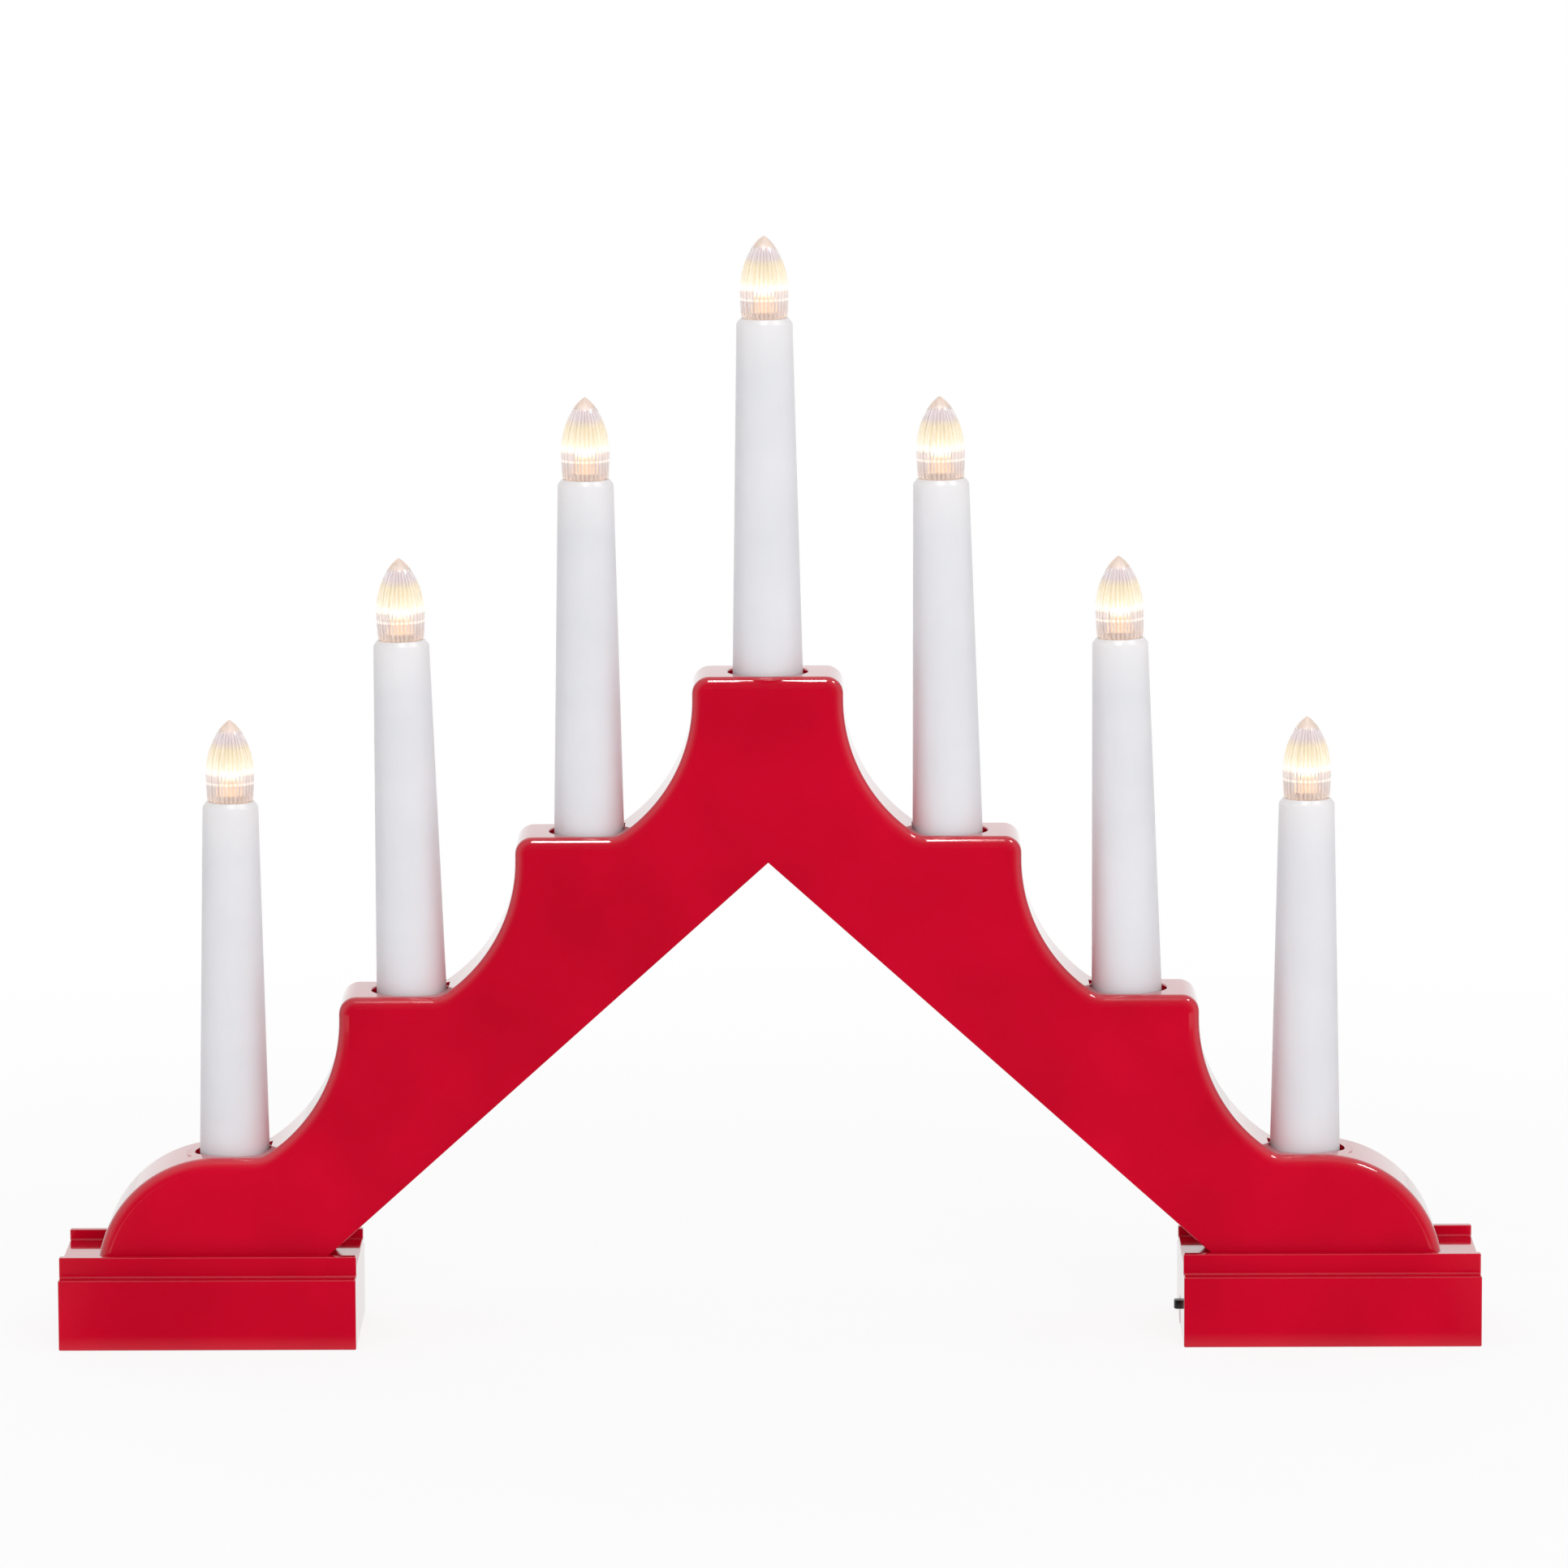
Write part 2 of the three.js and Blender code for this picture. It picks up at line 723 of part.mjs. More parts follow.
// A contact plate against the inner or outer end of the bay, with a spring where a cell's base meets it
function contact(atOuterEnd, yRange, springY, high = contactHigh) {
  const x = atOuterEnd ? [bayOuter - contactPlate, bayOuter] : [bayInner, bayInner + contactPlate];
  const plate = box(x, yRange, [contactLow, high]);
  if (springY === null) return plate;
  const face = atOuterEnd ? x[0] : x[1];
  const path = new SpringCurve(face, atOuterEnd ? -1 : 1, springY);
  const coil = new THREE.ExtrudeGeometry(ring(springWire, springSides), { steps: springSteps, extrudePath: path });
  return join(plate, coil);
}

// Switch and electrics
const switchPinX = switchRoomInner + switchBodyDepth + switchPinReach;
const switchPinZ = (switchBodyLow + switchBodyHigh) / 2;

function switchBody() {
  const x = [switchRoomInner, switchRoomInner + switchBodyDepth];
  const block = box(x, across(switchBodyHalf, switchY), [switchBodyLow, switchBodyHigh]);
  const track = box(
    [x[0] - cutPast, x[0] + stemDepth + seatGap],
    across(stemHalfWidth + stemTrackGap, switchY),
    [knobOnZ - knobTravel - stemHalfHeight - stemTrackGap, knobOnZ + stemHalfHeight + stemTrackGap],
  );
  const pins = [-1, 0, 1].map((place) => (
    box(
      [x[1] - ribThickness, switchPinX],
      across(switchPinHalf, switchY + place * switchPinPitch),
      across(switchPinHalf, switchPinZ),
    )
  ));
  return join(cut(block, track), ...pins);
}

function switchKnob() {
  const grip = box(
    [footInner - knobReach, switchRoomInner - seatGap],
    across(knobHalfWidth, switchY),
    across(knobHeight / 2, knobOnZ),
  );
  const stem = box(
    [switchRoomInner - footWall / 2, switchRoomInner + stemDepth],
    across(stemHalfWidth, switchY),
    across(stemHalfHeight, knobOnZ),
  );
  return join(grip, stem);
}

const boardX = switchRoomOuter - boardStandoff - boardThickness;

function circuitBoard() {
  return box([boardX, boardX + boardThickness], [boardFront, boardBack], [boardLow, boardHigh]);
}

function resistor() {
  const x = boardX - seatGap - resistorRadius;
  const middle = (boardFront + boardBack) / 2;
  const z = (boardLow + boardHigh) / 2;
  const body = post(resistorRadius, across(resistorLength / 2), resistorSides);
  body.rotateX(Math.PI / 2).translate(x, middle, z);
  const reach = resistorLength / 2 + resistorLeadReach;
  const wire = box(across(resistorLead, x), across(reach, middle), across(resistorLead, z));
  const legs = [-1, 1].map((side) => (
    box(
      [x - resistorLead, boardX - resistorBoardGap],
      across(resistorLead, middle + side * (reach - resistorLead)),
      across(resistorLead, z),
    )
  ));
  return join(body, wire, ...legs);
}

// Leads: their points are chosen by hand, between the pieces that they join
const runOffset = coverUpper + seatGap + leadRadius;
const runStartZ = deckTop + runRise;
const runStartX = underReach(runStartZ, runOffset);
const boardTopLead = boardHigh + seatGap;
const boardMiddleX = boardX + boardThickness / 2;

// A point on a candle's own axis frame, in the frame of the whole candlestick
function onCandle(step, [x, y, z]) {
  const lean = THREE.MathUtils.degToRad(candleLean[step + stepsPerSide]);
  const place = new THREE.Vector3(x, y, z).applyAxisAngle(new THREE.Vector3(0, 1, 0), lean);
  return [place.x + candleX(step), place.y, place.z + shelfZ(step)];
}

// The two straight stretches of a loom, which lie on the cover
function loomRuns(y) {
  return [-1, 1].map((side) => lead([
    [side * runStartX, y, underLine(runStartX, runOffset)],
    [-side * leadRadius / 2, y, underLine(0, runOffset) + leadRadius / 2],
  ], 1));
}

// From a loom up into a candle, where it ends under the lamp's pin
function loomRiser(step, y, pinSide, bend) {
  const x = pinSide * lampPinSpacing / 2;
  const straightLow = onCandle(step, [x, 0, 1 - spigotDepth]);
  const straight = lead([straightLow, onCandle(step, [x, 0, pinLow - seatGap])], 1);
  const startX = candleX(step) + x;
  const startZ = underLine(startX, runOffset);
  const start = bend ?? [
    [startX, y, startZ],
    [startX, y - 0.4, startZ + 5],
    [startX, y / 4, startZ + 16],
  ];
  const mouth = onCandle(step, [x, 0, -spigotDepth]);
  return [lead([...start, mouth, onCandle(step, [x, 0, 2 - spigotDepth])], 6), straight];
}

function loom(y, pinSide, entry, rightBend, leftBend) {
  const bends = new Map([[stepsPerSide, rightBend], [-stepsPerSide, leftBend]]);
  const risers = candleSteps.flatMap((step) => loomRiser(step, y, pinSide, bends.get(step)));
  return join(...loomRuns(y), lead(entry, 14), ...risers);
}

// The looms pass below the head of the inner leg screw, half way from the board to the hole
const underScrewHead = deckCeiling - screwHeadHeight - seatGap - leadRadius;
const halfToHoleX = (boardMiddleX + leadHoleX - 2.1) / 2;

function loomPositive() {
  const y = positiveRunY;
  const x = leadHoleX - 0.65;
  return loom(y, 1, [
    [boardMiddleX, boardBack - 1.2, boardTopLead],
    [boardMiddleX, boardBack - 1, underScrewHead],
    [boardMiddleX + 0.1, boardBack + 1.5, underScrewHead],
    [halfToHoleX - 0.6, boardBack + 7.5, underScrewHead],
    [x - 2.1, leadHoleY, deckCeiling - 1.05],
    [x, leadHoleY + 0.3, deckTop - 1.6],
    [x, leadHoleY + 0.3, deckTop + 0.5],
    [x - 2.1, leadHoleY + 0.2, deckTop + 2.8],
    [runStartX, y, runStartZ],
    [runStartX - 2, y, underLine(runStartX - 2, runOffset)],
  ], [
    [x, leadHoleY + 0.3, deckTop + 1.4],
    [x + 1.3, leadHoleY + 1.6, deckTop + 4.5],
    [x + 6.8, leadHoleY + 0.2, deckTop + 7.5],
  ], [
    [-runStartX, y, runStartZ],
    [-runStartX - 8.5, y, runStartZ - 1.4],
    [-runStartX - 15.5, y - 2, runStartZ + 1],
  ]);
}

function loomNegative() {
  const y = negativeRunY;
  const x = leadHoleX + 0.6;
  return loom(y, -1, [
    [boardMiddleX, boardBack - 3, boardTopLead],
    [boardMiddleX + 0.2, boardBack - 2.8, underScrewHead],
    [boardMiddleX + 1.6, boardBack - 1.4, underScrewHead],
    [halfToHoleX + 0.9, boardBack + 4.5, underScrewHead],
    [x - 2.1, leadHoleY - 1.9, deckCeiling - 1.05],
    [x, leadHoleY - 0.3, deckTop - 1.6],
    [x, leadHoleY - 0.3, deckTop + 1],
    [x - 1.2, leadHoleY - 0.9, deckTop + 4],
    [x - 5.1, y + 0.2, deckTop + 5.1],
    [runStartX, y, runStartZ],
    [runStartX - 2, y, underLine(runStartX - 2, runOffset)],
  ], [
    [x, leadHoleY - 0.3, deckTop + 1.4],
    [x + 2.9, leadHoleY - 1.2, deckTop + 2.9],
    [x + 6.9, leadHoleY - 3.7, deckTop + 6.4],
  ], [
    [-runStartX, y, runStartZ],
    [-runStartX - 8.5, y, runStartZ - 2],
    [-runStartX - 16.5, y - 2, runStartZ + 0.5],
  ]);
}

function leadCellPositive() {
  const y = bayHalf - 1.4;
  const z = bayCeiling - 1.2;
  const pinY = switchY + switchPinPitch;
  return join(
    lead([[bayOuter - contactPlate - seatGap, y, z], [bayInner + 2, y, z]], 1),
    lead([
      [bayInner + 3, y, z],
      [bayInner + 1, y, z],
      [switchRoomOuter - 1.5, y - 1.5, z - 1.2],
      [switchPinX + 1.3, pinY + 4, switchPinZ + 2.6],
      [switchPinX + 1.2, pinY + 0.6, switchPinZ + 0.3],
      [switchPinX + seatGap, pinY, switchPinZ],
    ], 12),
  );
}

function leadSwitch() {
  return lead([
    [switchPinX + seatGap, switchY, switchPinZ],
    [switchPinX + 1.3, switchY - 0.8, switchPinZ + 0.5],
    [boardMiddleX + 0.2, boardBack + 2.6, switchPinZ + 1.8],
    [boardMiddleX, boardBack + seatGap, switchPinZ + 2.6],
  ], 6);
}

function leadCellNegative() {
  const x = bayInner + contactPlate / 2;
  const y = boardBack - 5.8;
  return lead([
    [x, y, contactHigh + seatGap],
    [x - 0.1, y, contactHigh + 1.3],
    [x - 1.1, y, contactHigh + 2.2],
    [boardMiddleX + 0.2, y, boardHigh + 1.2],
    [boardMiddleX, y, boardTopLead],
  ], 8);
}

// Finishes
const finishes = {
  redPlastic: { color: 0xc4061e, roughness: 0.14, metalness: 0 },
  candlePlastic: { color: 0xe6e6e8, roughness: 0.4, metalness: 0 },
  clearPlastic: { color: 0xfff1dc, roughness: 0.08, metalness: 0, transparent: true, opacity: 0.45 },
  lampEpoxy: { color: 0xffd9a0, roughness: 0.1, metalness: 0, emissive: 0xffb050 },
  blackPlastic: { color: 0x161618, roughness: 0.4, metalness: 0 },
  screwSteel: { color: 0xb4b6b8, roughness: 0.35, metalness: 1 },
  springSteel: { color: 0xcfd0d2, roughness: 0.25, metalness: 1 },
  cellJacket: { color: 0x2f3a44, roughness: 0.3, metalness: 0.4 },
  board: { color: 0x2c5a36, roughness: 0.5, metalness: 0 },
  resistorBody: { color: 0xd8c39a, roughness: 0.5, metalness: 0 },
  redLead: { color: 0x9c1a1a, roughness: 0.45, metalness: 0 },
  blackLead: { color: 0x1c1c1e, roughness: 0.45, metalness: 0 },
};

const candlestick = new THREE.Group();

function add(name, shape, finish, parent = candlestick) {
  const mesh = new THREE.Mesh(surface(shape), new THREE.MeshStandardMaterial(finishes[finish]));
  mesh.name = name;
  parent.add(mesh);
  return mesh;
}

add('arch_shell', archShell(), 'redPlastic');
add('underside_cover', undersideCover(), 'redPlastic');

for (const step of candleSteps) {
  const index = step + stepsPerSide;
  const candle = new THREE.Group();
  candle.position.set(candleX(step), 0, shelfZ(step));
  candle.rotation.y = THREE.MathUtils.degToRad(candleLean[index]);
  candlestick.add(candle);
  add(`candle_tube_${index + 1}`, candleTube(), 'candlePlastic', candle);
  add(`lamp_holder_${index + 1}`, lampHolder(), 'candlePlastic', candle);
  add(`led_${index + 1}`, lamp(), 'lampEpoxy', candle);
  add(`flame_bulb_${index + 1}`, flameBulb(), 'clearPlastic', candle);
}

for (const [side, withSwitch] of [['left', false], ['right', true]]) {
  const place = side === 'left' ? mirrored : surface;
  add(`foot_housing_${side}`, place(footHousing(withSwitch)), 'redPlastic');
  add(`compartment_cover_${side}`, place(compartmentCover(withSwitch)), 'redPlastic');
  add(`battery_lid_${side}`, place(batteryLid()), 'redPlastic');
}

coverScrewPlaces.forEach((x, i) => {
  const gap = coverRecess - seatGap;
  add(`cover_screw_${i + 1}`, onSlope(screw(coverScrewLength), x, gap), 'screwSteel');
});
legScrewPlaces.flatMap((x) => [-x, x]).forEach((x, i) => {
  add(`leg_screw_${i + 1}`, screw(legScrewLength).translate(x, 0, deckCeiling), 'screwSteel');
});

add('battery_cell_front', batteryCell(-cellPitch, 1), 'cellJacket');
add('battery_cell_middle', batteryCell(0, -1), 'cellJacket');
add('battery_cell_back', batteryCell(cellPitch, 1), 'cellJacket');
add('contact_front_negative', contact(false, across(contactHalf, -cellPitch), -cellPitch), 'springSteel');
add('contact_outer_bridge', contact(true, [-cellPitch - contactHalf, contactHalf], 0), 'springSteel');
const innerBridgeRange = [-contactHalf, cellPitch + contactHalf];
add('contact_inner_bridge', contact(false, innerBridgeRange, cellPitch), 'springSteel');
const positiveRange = [cellPitch - contactHalf, bayHalf - seatGap];
add('contact_back_positive', contact(true, positiveRange, null, bayCeiling - seatGap), 'springSteel');

add('circuit_board', circuitBoard(), 'board');
add('resistor', resistor(), 'resistorBody');
add('switch_body', switchBody(), 'blackPlastic');
add('switch_knob', switchKnob(), 'blackPlastic');
add('loom_positive', loomPositive(), 'redLead');
add('loom_negative', loomNegative(), 'blackLead');
add('lead_cell_positive', leadCellPositive(), 'redLead');
add('lead_cell_negative', leadCellNegative(), 'blackLead');
add('lead_switch', leadSwitch(), 'redLead');

export default candlestick;
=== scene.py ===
"""Looks of an advent candlestick: a glossy red stair arch on two battery boxes, with seven
electric candles and their ribbed flame bulbs. Blender works in metres. The outlines below
are in millimetres, and are scaled when a mesh is made."""

import math

import bmesh
import bpy
from mathutils import Matrix, Vector


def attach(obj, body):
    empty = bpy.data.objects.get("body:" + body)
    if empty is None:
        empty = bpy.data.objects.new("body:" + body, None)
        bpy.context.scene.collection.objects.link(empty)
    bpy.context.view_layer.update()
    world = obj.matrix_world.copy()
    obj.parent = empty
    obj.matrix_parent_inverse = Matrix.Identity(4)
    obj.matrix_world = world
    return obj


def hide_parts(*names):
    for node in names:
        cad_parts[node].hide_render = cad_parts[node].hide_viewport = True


bl_info = {
    "name": "Advent Candlestick",
    "version": (1, 0, 0),
    "blender": (4, 5, 0),
    "location": "3D View > Sidebar > Candlestick",
    "description": "Builds the visible pieces of a seven armed electric candlestick",
    "category": "Object",
}

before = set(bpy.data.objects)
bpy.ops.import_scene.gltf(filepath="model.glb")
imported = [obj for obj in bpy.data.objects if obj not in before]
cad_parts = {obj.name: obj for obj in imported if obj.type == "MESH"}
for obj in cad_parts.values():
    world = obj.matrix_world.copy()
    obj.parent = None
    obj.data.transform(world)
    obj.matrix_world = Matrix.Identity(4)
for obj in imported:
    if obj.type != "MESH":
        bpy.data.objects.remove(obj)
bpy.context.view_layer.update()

MM = 0.001
ROOT = "candlestick"
CANDLES = 7
MIDDLE = (CANDLES - 1) // 2

# Lengths are in millimetres where nothing else is said, and the foot is the right one.

# Shelves, and the well that each candle stands in
TOP_SHELF = 141.44
SHELF_RISE = 33.88
LOW_RISE_EXTRA = 0.4
STEP_RUN = 37.4
CANDLE_PITCH = 37.85
TOP_SHELF_HALF = 15.9
WELL_RADIUS = 8.48
WELL_DEPTH = 3.0
WELL_FLOOR = 2.0
WELL_RIM = 0.35
CUP_WALL = 1.8
CUP_DROP = 0.6
SPIGOT_HOLE = 6.65

# Arch
APEX = 102.2
UNDER_SLOPE = 0.8951
UNDER_ANGLE = math.atan(UNDER_SLOPE)
UNDER_EDGE = 0.3
BASE_HALF = 12.8
MOULD_DRAFT = 2.4
SHELF_CORNER = 3.6
RISER_ARC = 34.4
RISER_DROP = 4.9
RISER_FOOT = 5.5
END_ARC = 25.4
END_ARC_X = 116.9
END_ARC_Z = 14.0
COVER_RECESS = 2.0
COVER_SCREWS = (-10.0, 10.0, -84.8, 84.8)
COVER_SCREW_LENGTH = 10.0
LEG_SCREWS = (-103.787, 103.787, -134.187, 134.187)
LEG_SCREW_LENGTH = 11.0
PILOT_RADIUS = 1.35
BOSS_RADIUS = 2.8
BOSS_HEIGHT = 11.4

# How far a cut reaches past the surface that it opens
OVERRUN = 1.0
DEEP_OVERRUN = 4.0

# Faces round a well, a spigot's hole, a boss and a screw's hole
WELL_SIDES = 64
SPIGOT_SIDES = 48
BOSS_SIDES = 32
PILOT_SIDES = 24

# Foot
DECK_TOP = 17.05
FOOT_BOX_TOP = 15.0
RAIL_TOP = 19.2
DECK_CEILING = 15.45
BAY_CEILING = 13.4
CHANNEL_HALF = 14.35
RAIL_HALF = 16.6
LEDGE_COVE = 0.3
FOOT_HALF = 20.4
BAY_HALF = 18.4
DECK_ROOM_HALF = 14.6
FOOT_INNER = 87.25
FOOT_OUTER = 150.0
SWITCH_ROOM = (89.25, 98.0)
BAY = (99.2, 148.0)
SCREW_HOLE = 1.5
LEAD_HOLE = 1.8
LEAD_HOLE_AT = (104.18, 7.2)
LEAD_PASS_HALF = 10.5
LEAD_PASS_LOW = 11.2

# Lid, and the plate under the switch room
LID_LOW = 0.3
LID_TOP = 1.7
LID_END_GAP = 0.2
TONGUE_LOW = 1.1
TONGUE_REACH = 0.9
SLIDE_GAP = 0.15
SEAT_GAP = 0.3
RIDGE_START = 4.0
RIDGE_STEP = 1.8
RIDGE_HALF = (0.4, 5.8)
RIDGE_DROP = 0.25
RIDGE_ROOT = 0.6
SWITCH_NOTCH = ((SWITCH_ROOM[0], 93.35), (-1.8, 6.8), (0, 2.5))

# Switch: the slot for its knob, the two ribs that its body stands between, and the knob
SWITCH_Y = 2.5
SLOT_HALF = 1.5
SLOT_TOP = 6.5
CRADLE_OFFSET = 4.8
CRADLE_HALF = 0.5
CRADLE_X = (88.25, 93.05)
CRADLE_Z = (2.0, 14.0)
KNOB_Z = 4.75
KNOB_HALF = (1.3, 0.925)
KNOB_REACH = 1.3
KNOB_BACK = 88.95
STEM_X = (88.25, 91.25)
STEM_HALF = (0.7, 0.6)
THUMB_RIDGE = 0.5
THUMB_RIDGE_LEAD = 0.1
THUMB_RIDGE_RISE = 0.35
THUMB_RIDGE_STEP = 0.65

# Cells
CELL_Z = 7.55
CELL_PITCH = 11.6
CELL_RADIUS = 5.25
CELL_LENGTH = 44.5
CONTACT = 0.4
SPRING = 3.2
NUB_GAP = 0.3

# Candle, bulb and lamp heights above the candle's own shelf
SPIGOT_END = -9.0
BEAD = -5.3
TAPER_TOP = 73.3
RIM_HEIGHT = 74.7
SOCKET_DEPTH = 6.0
GLOW_DEPTH = 12.0
BULB_BASE = 75.0
BULB_HEIGHT = 17.0
BULB_WAIST = 5.5
LAMP_LOW = 76.2
LAMP_HEIGHT = 4.7
FLANGE_HEIGHT = 1.0
PIN_END = 64.4
HOLDER_LOW = 65.4
HOLDER_STEP = 68.4
HOLDER_HIGH = 75.9

# Candle, bulb and lamp radii
TUBE_FOOT = 7.4
TUBE_TOP = 5.89
SPIGOT = 6.3
BORE = 4.9
SOCKET = 4.4
FLAME_RADIUS = 5.13
FLAME_WALL = 0.95
FLAME_TIP = 2.3
FLAME_PULLS = (0.44, 0.88)
NECK_RADIUS = 4.2
NECK_LENGTH = 4.7
RIB_TOP = 5.5
RIB_FADE = 2.5
SIDES_PER_RIB = 6
LENS_RADIUS = 1.5
FLANGE_RADIUS = 1.9
HOLDER_RADIUS = 4.6
HOLDER_NECK = 2.7
PIN_OFFSET = 1.27
PIN_HALF = 0.25
PIN_HOLE_HALF = 0.55

# Each candle's lean to the right, in degrees
CANDLE_LEAN = (-0.05, -1.15, -0.2, -0.3, -0.97, -1.13, 0.08)

# Lamps of the studio: place and size in metres, watts, and the kind of ray that misses them
STUDIO_LAMPS = {
    "front": ((0.32, -1.75, 0.68), (1.6, 1.2), 16.0, "visible_glossy"),
    "back": ((-0.3, 1.6, 0.9), (1.6, 1.2), 5.0, "visible_glossy"),
    "overhead": ((-0.025, -0.45, 1.4), (0.17, 0.45), 8.0, "visible_diffuse"),
    "side": ((0.78, -0.2, 1.25), (0.3, 0.25), 5.0, "visible_diffuse"),
}
LAMP_AIM = Vector((0, 0, 0.09))

# Half the width of the paper under the object
FLOOR_REACH = 520.0

# Camera: place in metres, its turns in radians, and its lens
CAMERA_PLACE = (0.0122, -2.0156, 0.4203)
CAMERA_PITCH = 0.14919
CAMERA_YAW = -0.0044
CAMERA_ROLL = -0.0040
CAMERA_LENS = 221.7
CAMERA_SENSOR = 36


# ---------------------------------------------------------------- colour and nodes


def linear(code):
    """An sRGB hex colour as a linear RGBA tuple."""
    channels = [int(code[i : i + 2], 16) / 255 for i in (0, 2, 4)]
    return (*(c / 12.92 if c <= 0.04045 else ((c + 0.055) / 1.055) ** 2.4 for c in channels), 1)


def add_node(tree, kind, inputs=None, **settings):
    """A node with its settings. An input that is a socket is linked, any other is a value."""
    made = tree.nodes.new(kind)
    for name, value in settings.items():
        setattr(made, name, value)
    for name, value in (inputs or {}).items():
        if isinstance(value, bpy.types.NodeSocket):
            tree.links.new(value, made.inputs[name])
        else:
            made.inputs[name].default_value = value
    return made


def mapped(tree, value, start, end, low=0.0, high=1.0, **settings):
    """A value carried over from the range start to end to the range low to high."""
    ends = {"From Min": start, "From Max": end, "To Min": low, "To Max": high}
    made = add_node(tree, "ShaderNodeMapRange", {"Value": value, **ends}, **settings)
    return made.outputs["Result"]


def ranged(tree, value, low, high):
    """A 0 to 1 value, stretched to another range."""
    return mapped(tree, value, 0.0, 1.0, low, high)


def computed(tree, operation, *values, kind="ShaderNodeMath"):
    """The result of a math node on sockets and numbers."""
    return add_node(tree, kind, dict(enumerate(values)), operation=operation).outputs[0]


def mixed(tree, share, first, second):
    """A colour between two others."""
    inputs = {0: share, 6: first, 7: second}
    return add_node(tree, "ShaderNodeMix", inputs, data_type="RGBA").outputs[2]


def ramped(tree, share, stops, interpolation="LINEAR"):
    """The colour at a share of a ramp, whose stops are positions with sRGB hex colours."""
    ramp = add_node(tree, "ShaderNodeValToRGB", {"Fac": share})
    ramp.color_ramp.interpolation = interpolation
    elements = ramp.color_ramp.elements
    while len(elements) < len(stops):
        elements.new(0.5)
    for element, (position, code) in zip(elements, stops.items()):
        element.position = position
        element.color = linear(code)
    return ramp.outputs["Color"]


def object_place(tree):
    """Places on the object, in metres."""
    return add_node(tree, "ShaderNodeTexCoord").outputs["Object"]


def noise_at(tree, place, grain, detail=2.0):
    """A noise of a real grain size in metres."""
    inputs = {"Vector": place, "Scale": 1 / grain, "Detail": detail}
    return add_node(tree, "ShaderNodeTexNoise", inputs).outputs["Fac"]


def mottled(tree, first, second, grain):
    """A noise of a real grain size in metres, and the colour that it mixes from two others."""
    noise = noise_at(tree, object_place(tree), grain)
    return noise, mixed(tree, ranged(tree, noise, -0.5, 1.5), linear(first), linear(second))


def bumped(tree, height, depth, strength=1.0):
    """A bump of a real depth in metres."""
    inputs = {"Height": height, "Distance": depth, "Strength": strength}
    return add_node(tree, "ShaderNodeBump", inputs).outputs["Normal"]


def kept(tree, name):
    """A value that the mesh keeps at each point: its height in metres, or its turn."""
    return add_node(tree, "ShaderNodeAttribute", attribute_name=name).outputs["Fac"]


def new_material(name):
    """An empty node material and its tree."""
    material = bpy.data.materials.new(name)
    material.use_nodes = True
    material.node_tree.nodes.clear()
    return material, material.node_tree


def finish_material(material, shader):
    """Sends a shader's result to the material's output."""
    add_node(material.node_tree, "ShaderNodeOutputMaterial", {"Surface": shader.outputs[0]})
    return material


def principled(material, inputs):
    """Ends a material with one shader for all of its surface."""
    shader = add_node(material.node_tree, "ShaderNodeBsdfPrincipled", inputs)
    return finish_material(material, shader)


def glossy_red_abs(name):
    """ABS, injection moulded in a polished tool: a deep even red under a mirror-like skin
    that whitens where it is seen at a flat angle, with the slight waviness of shrinkage."""
    material, tree = new_material(name)
    colours = bpy.context.scene.candlestick_colours
    noise, colour = mottled(tree, colours.red, colours.red_deep, 28 * MM)
    wave = noise_at(tree, object_place(tree), 16 * MM, 1.0)
    inputs = {
        "Base Color": colour,
        "Roughness": ranged(tree, noise, 0.08, 0.14),
        "IOR": 1.54,
        "Specular IOR Level": 0.3,
        "Coat Weight": 1.0,
        "Coat IOR": 1.3,
        "Coat Roughness": 0.04,
        "Normal": bumped(tree, wave, 0.05 * MM, 0.6),
    }
    return principled(material, inputs)


def satin_candle_plastic(name):
    """Polypropylene, moulded and satin: a cool white tube with a soft sheen. The lamp's warm
    light close below its rim is a painted glow, a faint emission that grows towards the rim."""
    material, tree = new_material(name)
    colours = bpy.context.scene.candlestick_colours
    noise, colour = mottled(tree, colours.candle, colours.candle_shade, 14 * MM)
    start, end = (RIM_HEIGHT - GLOW_DEPTH) * MM, RIM_HEIGHT * MM
    inputs = {
        "Base Color": colour,
        "Roughness": ranged(tree, noise, 0.3, 0.4),
        "IOR": 1.49,
        "Subsurface Weight": 0.25,
        "Subsurface Radius": (1.0, 0.85, 0.75),
        "Subsurface Scale": 1.2 * MM,
        # Painted glow: a faint warm emission below the rim stands in for the lamp's light seen
        # through the tube
        "Emission Color": linear("ffe0bc"),
        "Emission Strength": mapped(tree, kept(tree, "height"), start, end, 0.0, 0.085),
        "Normal": bumped(tree, noise, 0.05 * MM, 0.4),
    }
    return principled(material, inputs)


# Tones of a bulb from its base at 0 to its tip at 1, mostly painted lamp light on a pale clear
# plastic:
# # between the ribs, on a rib as painted streaks of refracted light, and a painted glow for the
# lamp's light
CLEAR_TINT_AND_PAINTED_LIGHT_TONES = {
    0.0: "f2e6e2", 0.2: "f4eeee", 0.31: "f6f0ee", 0.41: "fffdf8", 0.47: "fcf8ee",
    0.66: "fbf5e8", 0.74: "f4ecee", 0.85: "f2eaeb", 0.88: "f2ded2", 1.0: "f2dcd0",
}
RIB_PAINTED_STREAK_TONES = {
    0.0: "e0cec6", 0.2: "e4dadc", 0.31: "e8dfdf", 0.41: "fcf2dc", 0.64: "f2e4c0",
    0.72: "d8ccd2", 0.84: "d9cfd4", 0.88: "f3e1d6",
}
PAINTED_GLOW_TONES = {
    0.0: "686058", 0.05: "524c48", 0.1: "403e3c", 0.2: "42403f", 0.212: "847e74",
    0.228: "847e74", 0.24: "42403f", 0.32: "524e4b", 0.345: "86827a", 0.385: "86827a",
    0.42: "585550", 0.66: "504d48", 0.78: "4c494b", 0.87: "4c4644", 0.9: "5c544e", 1.0: "665c56",
}


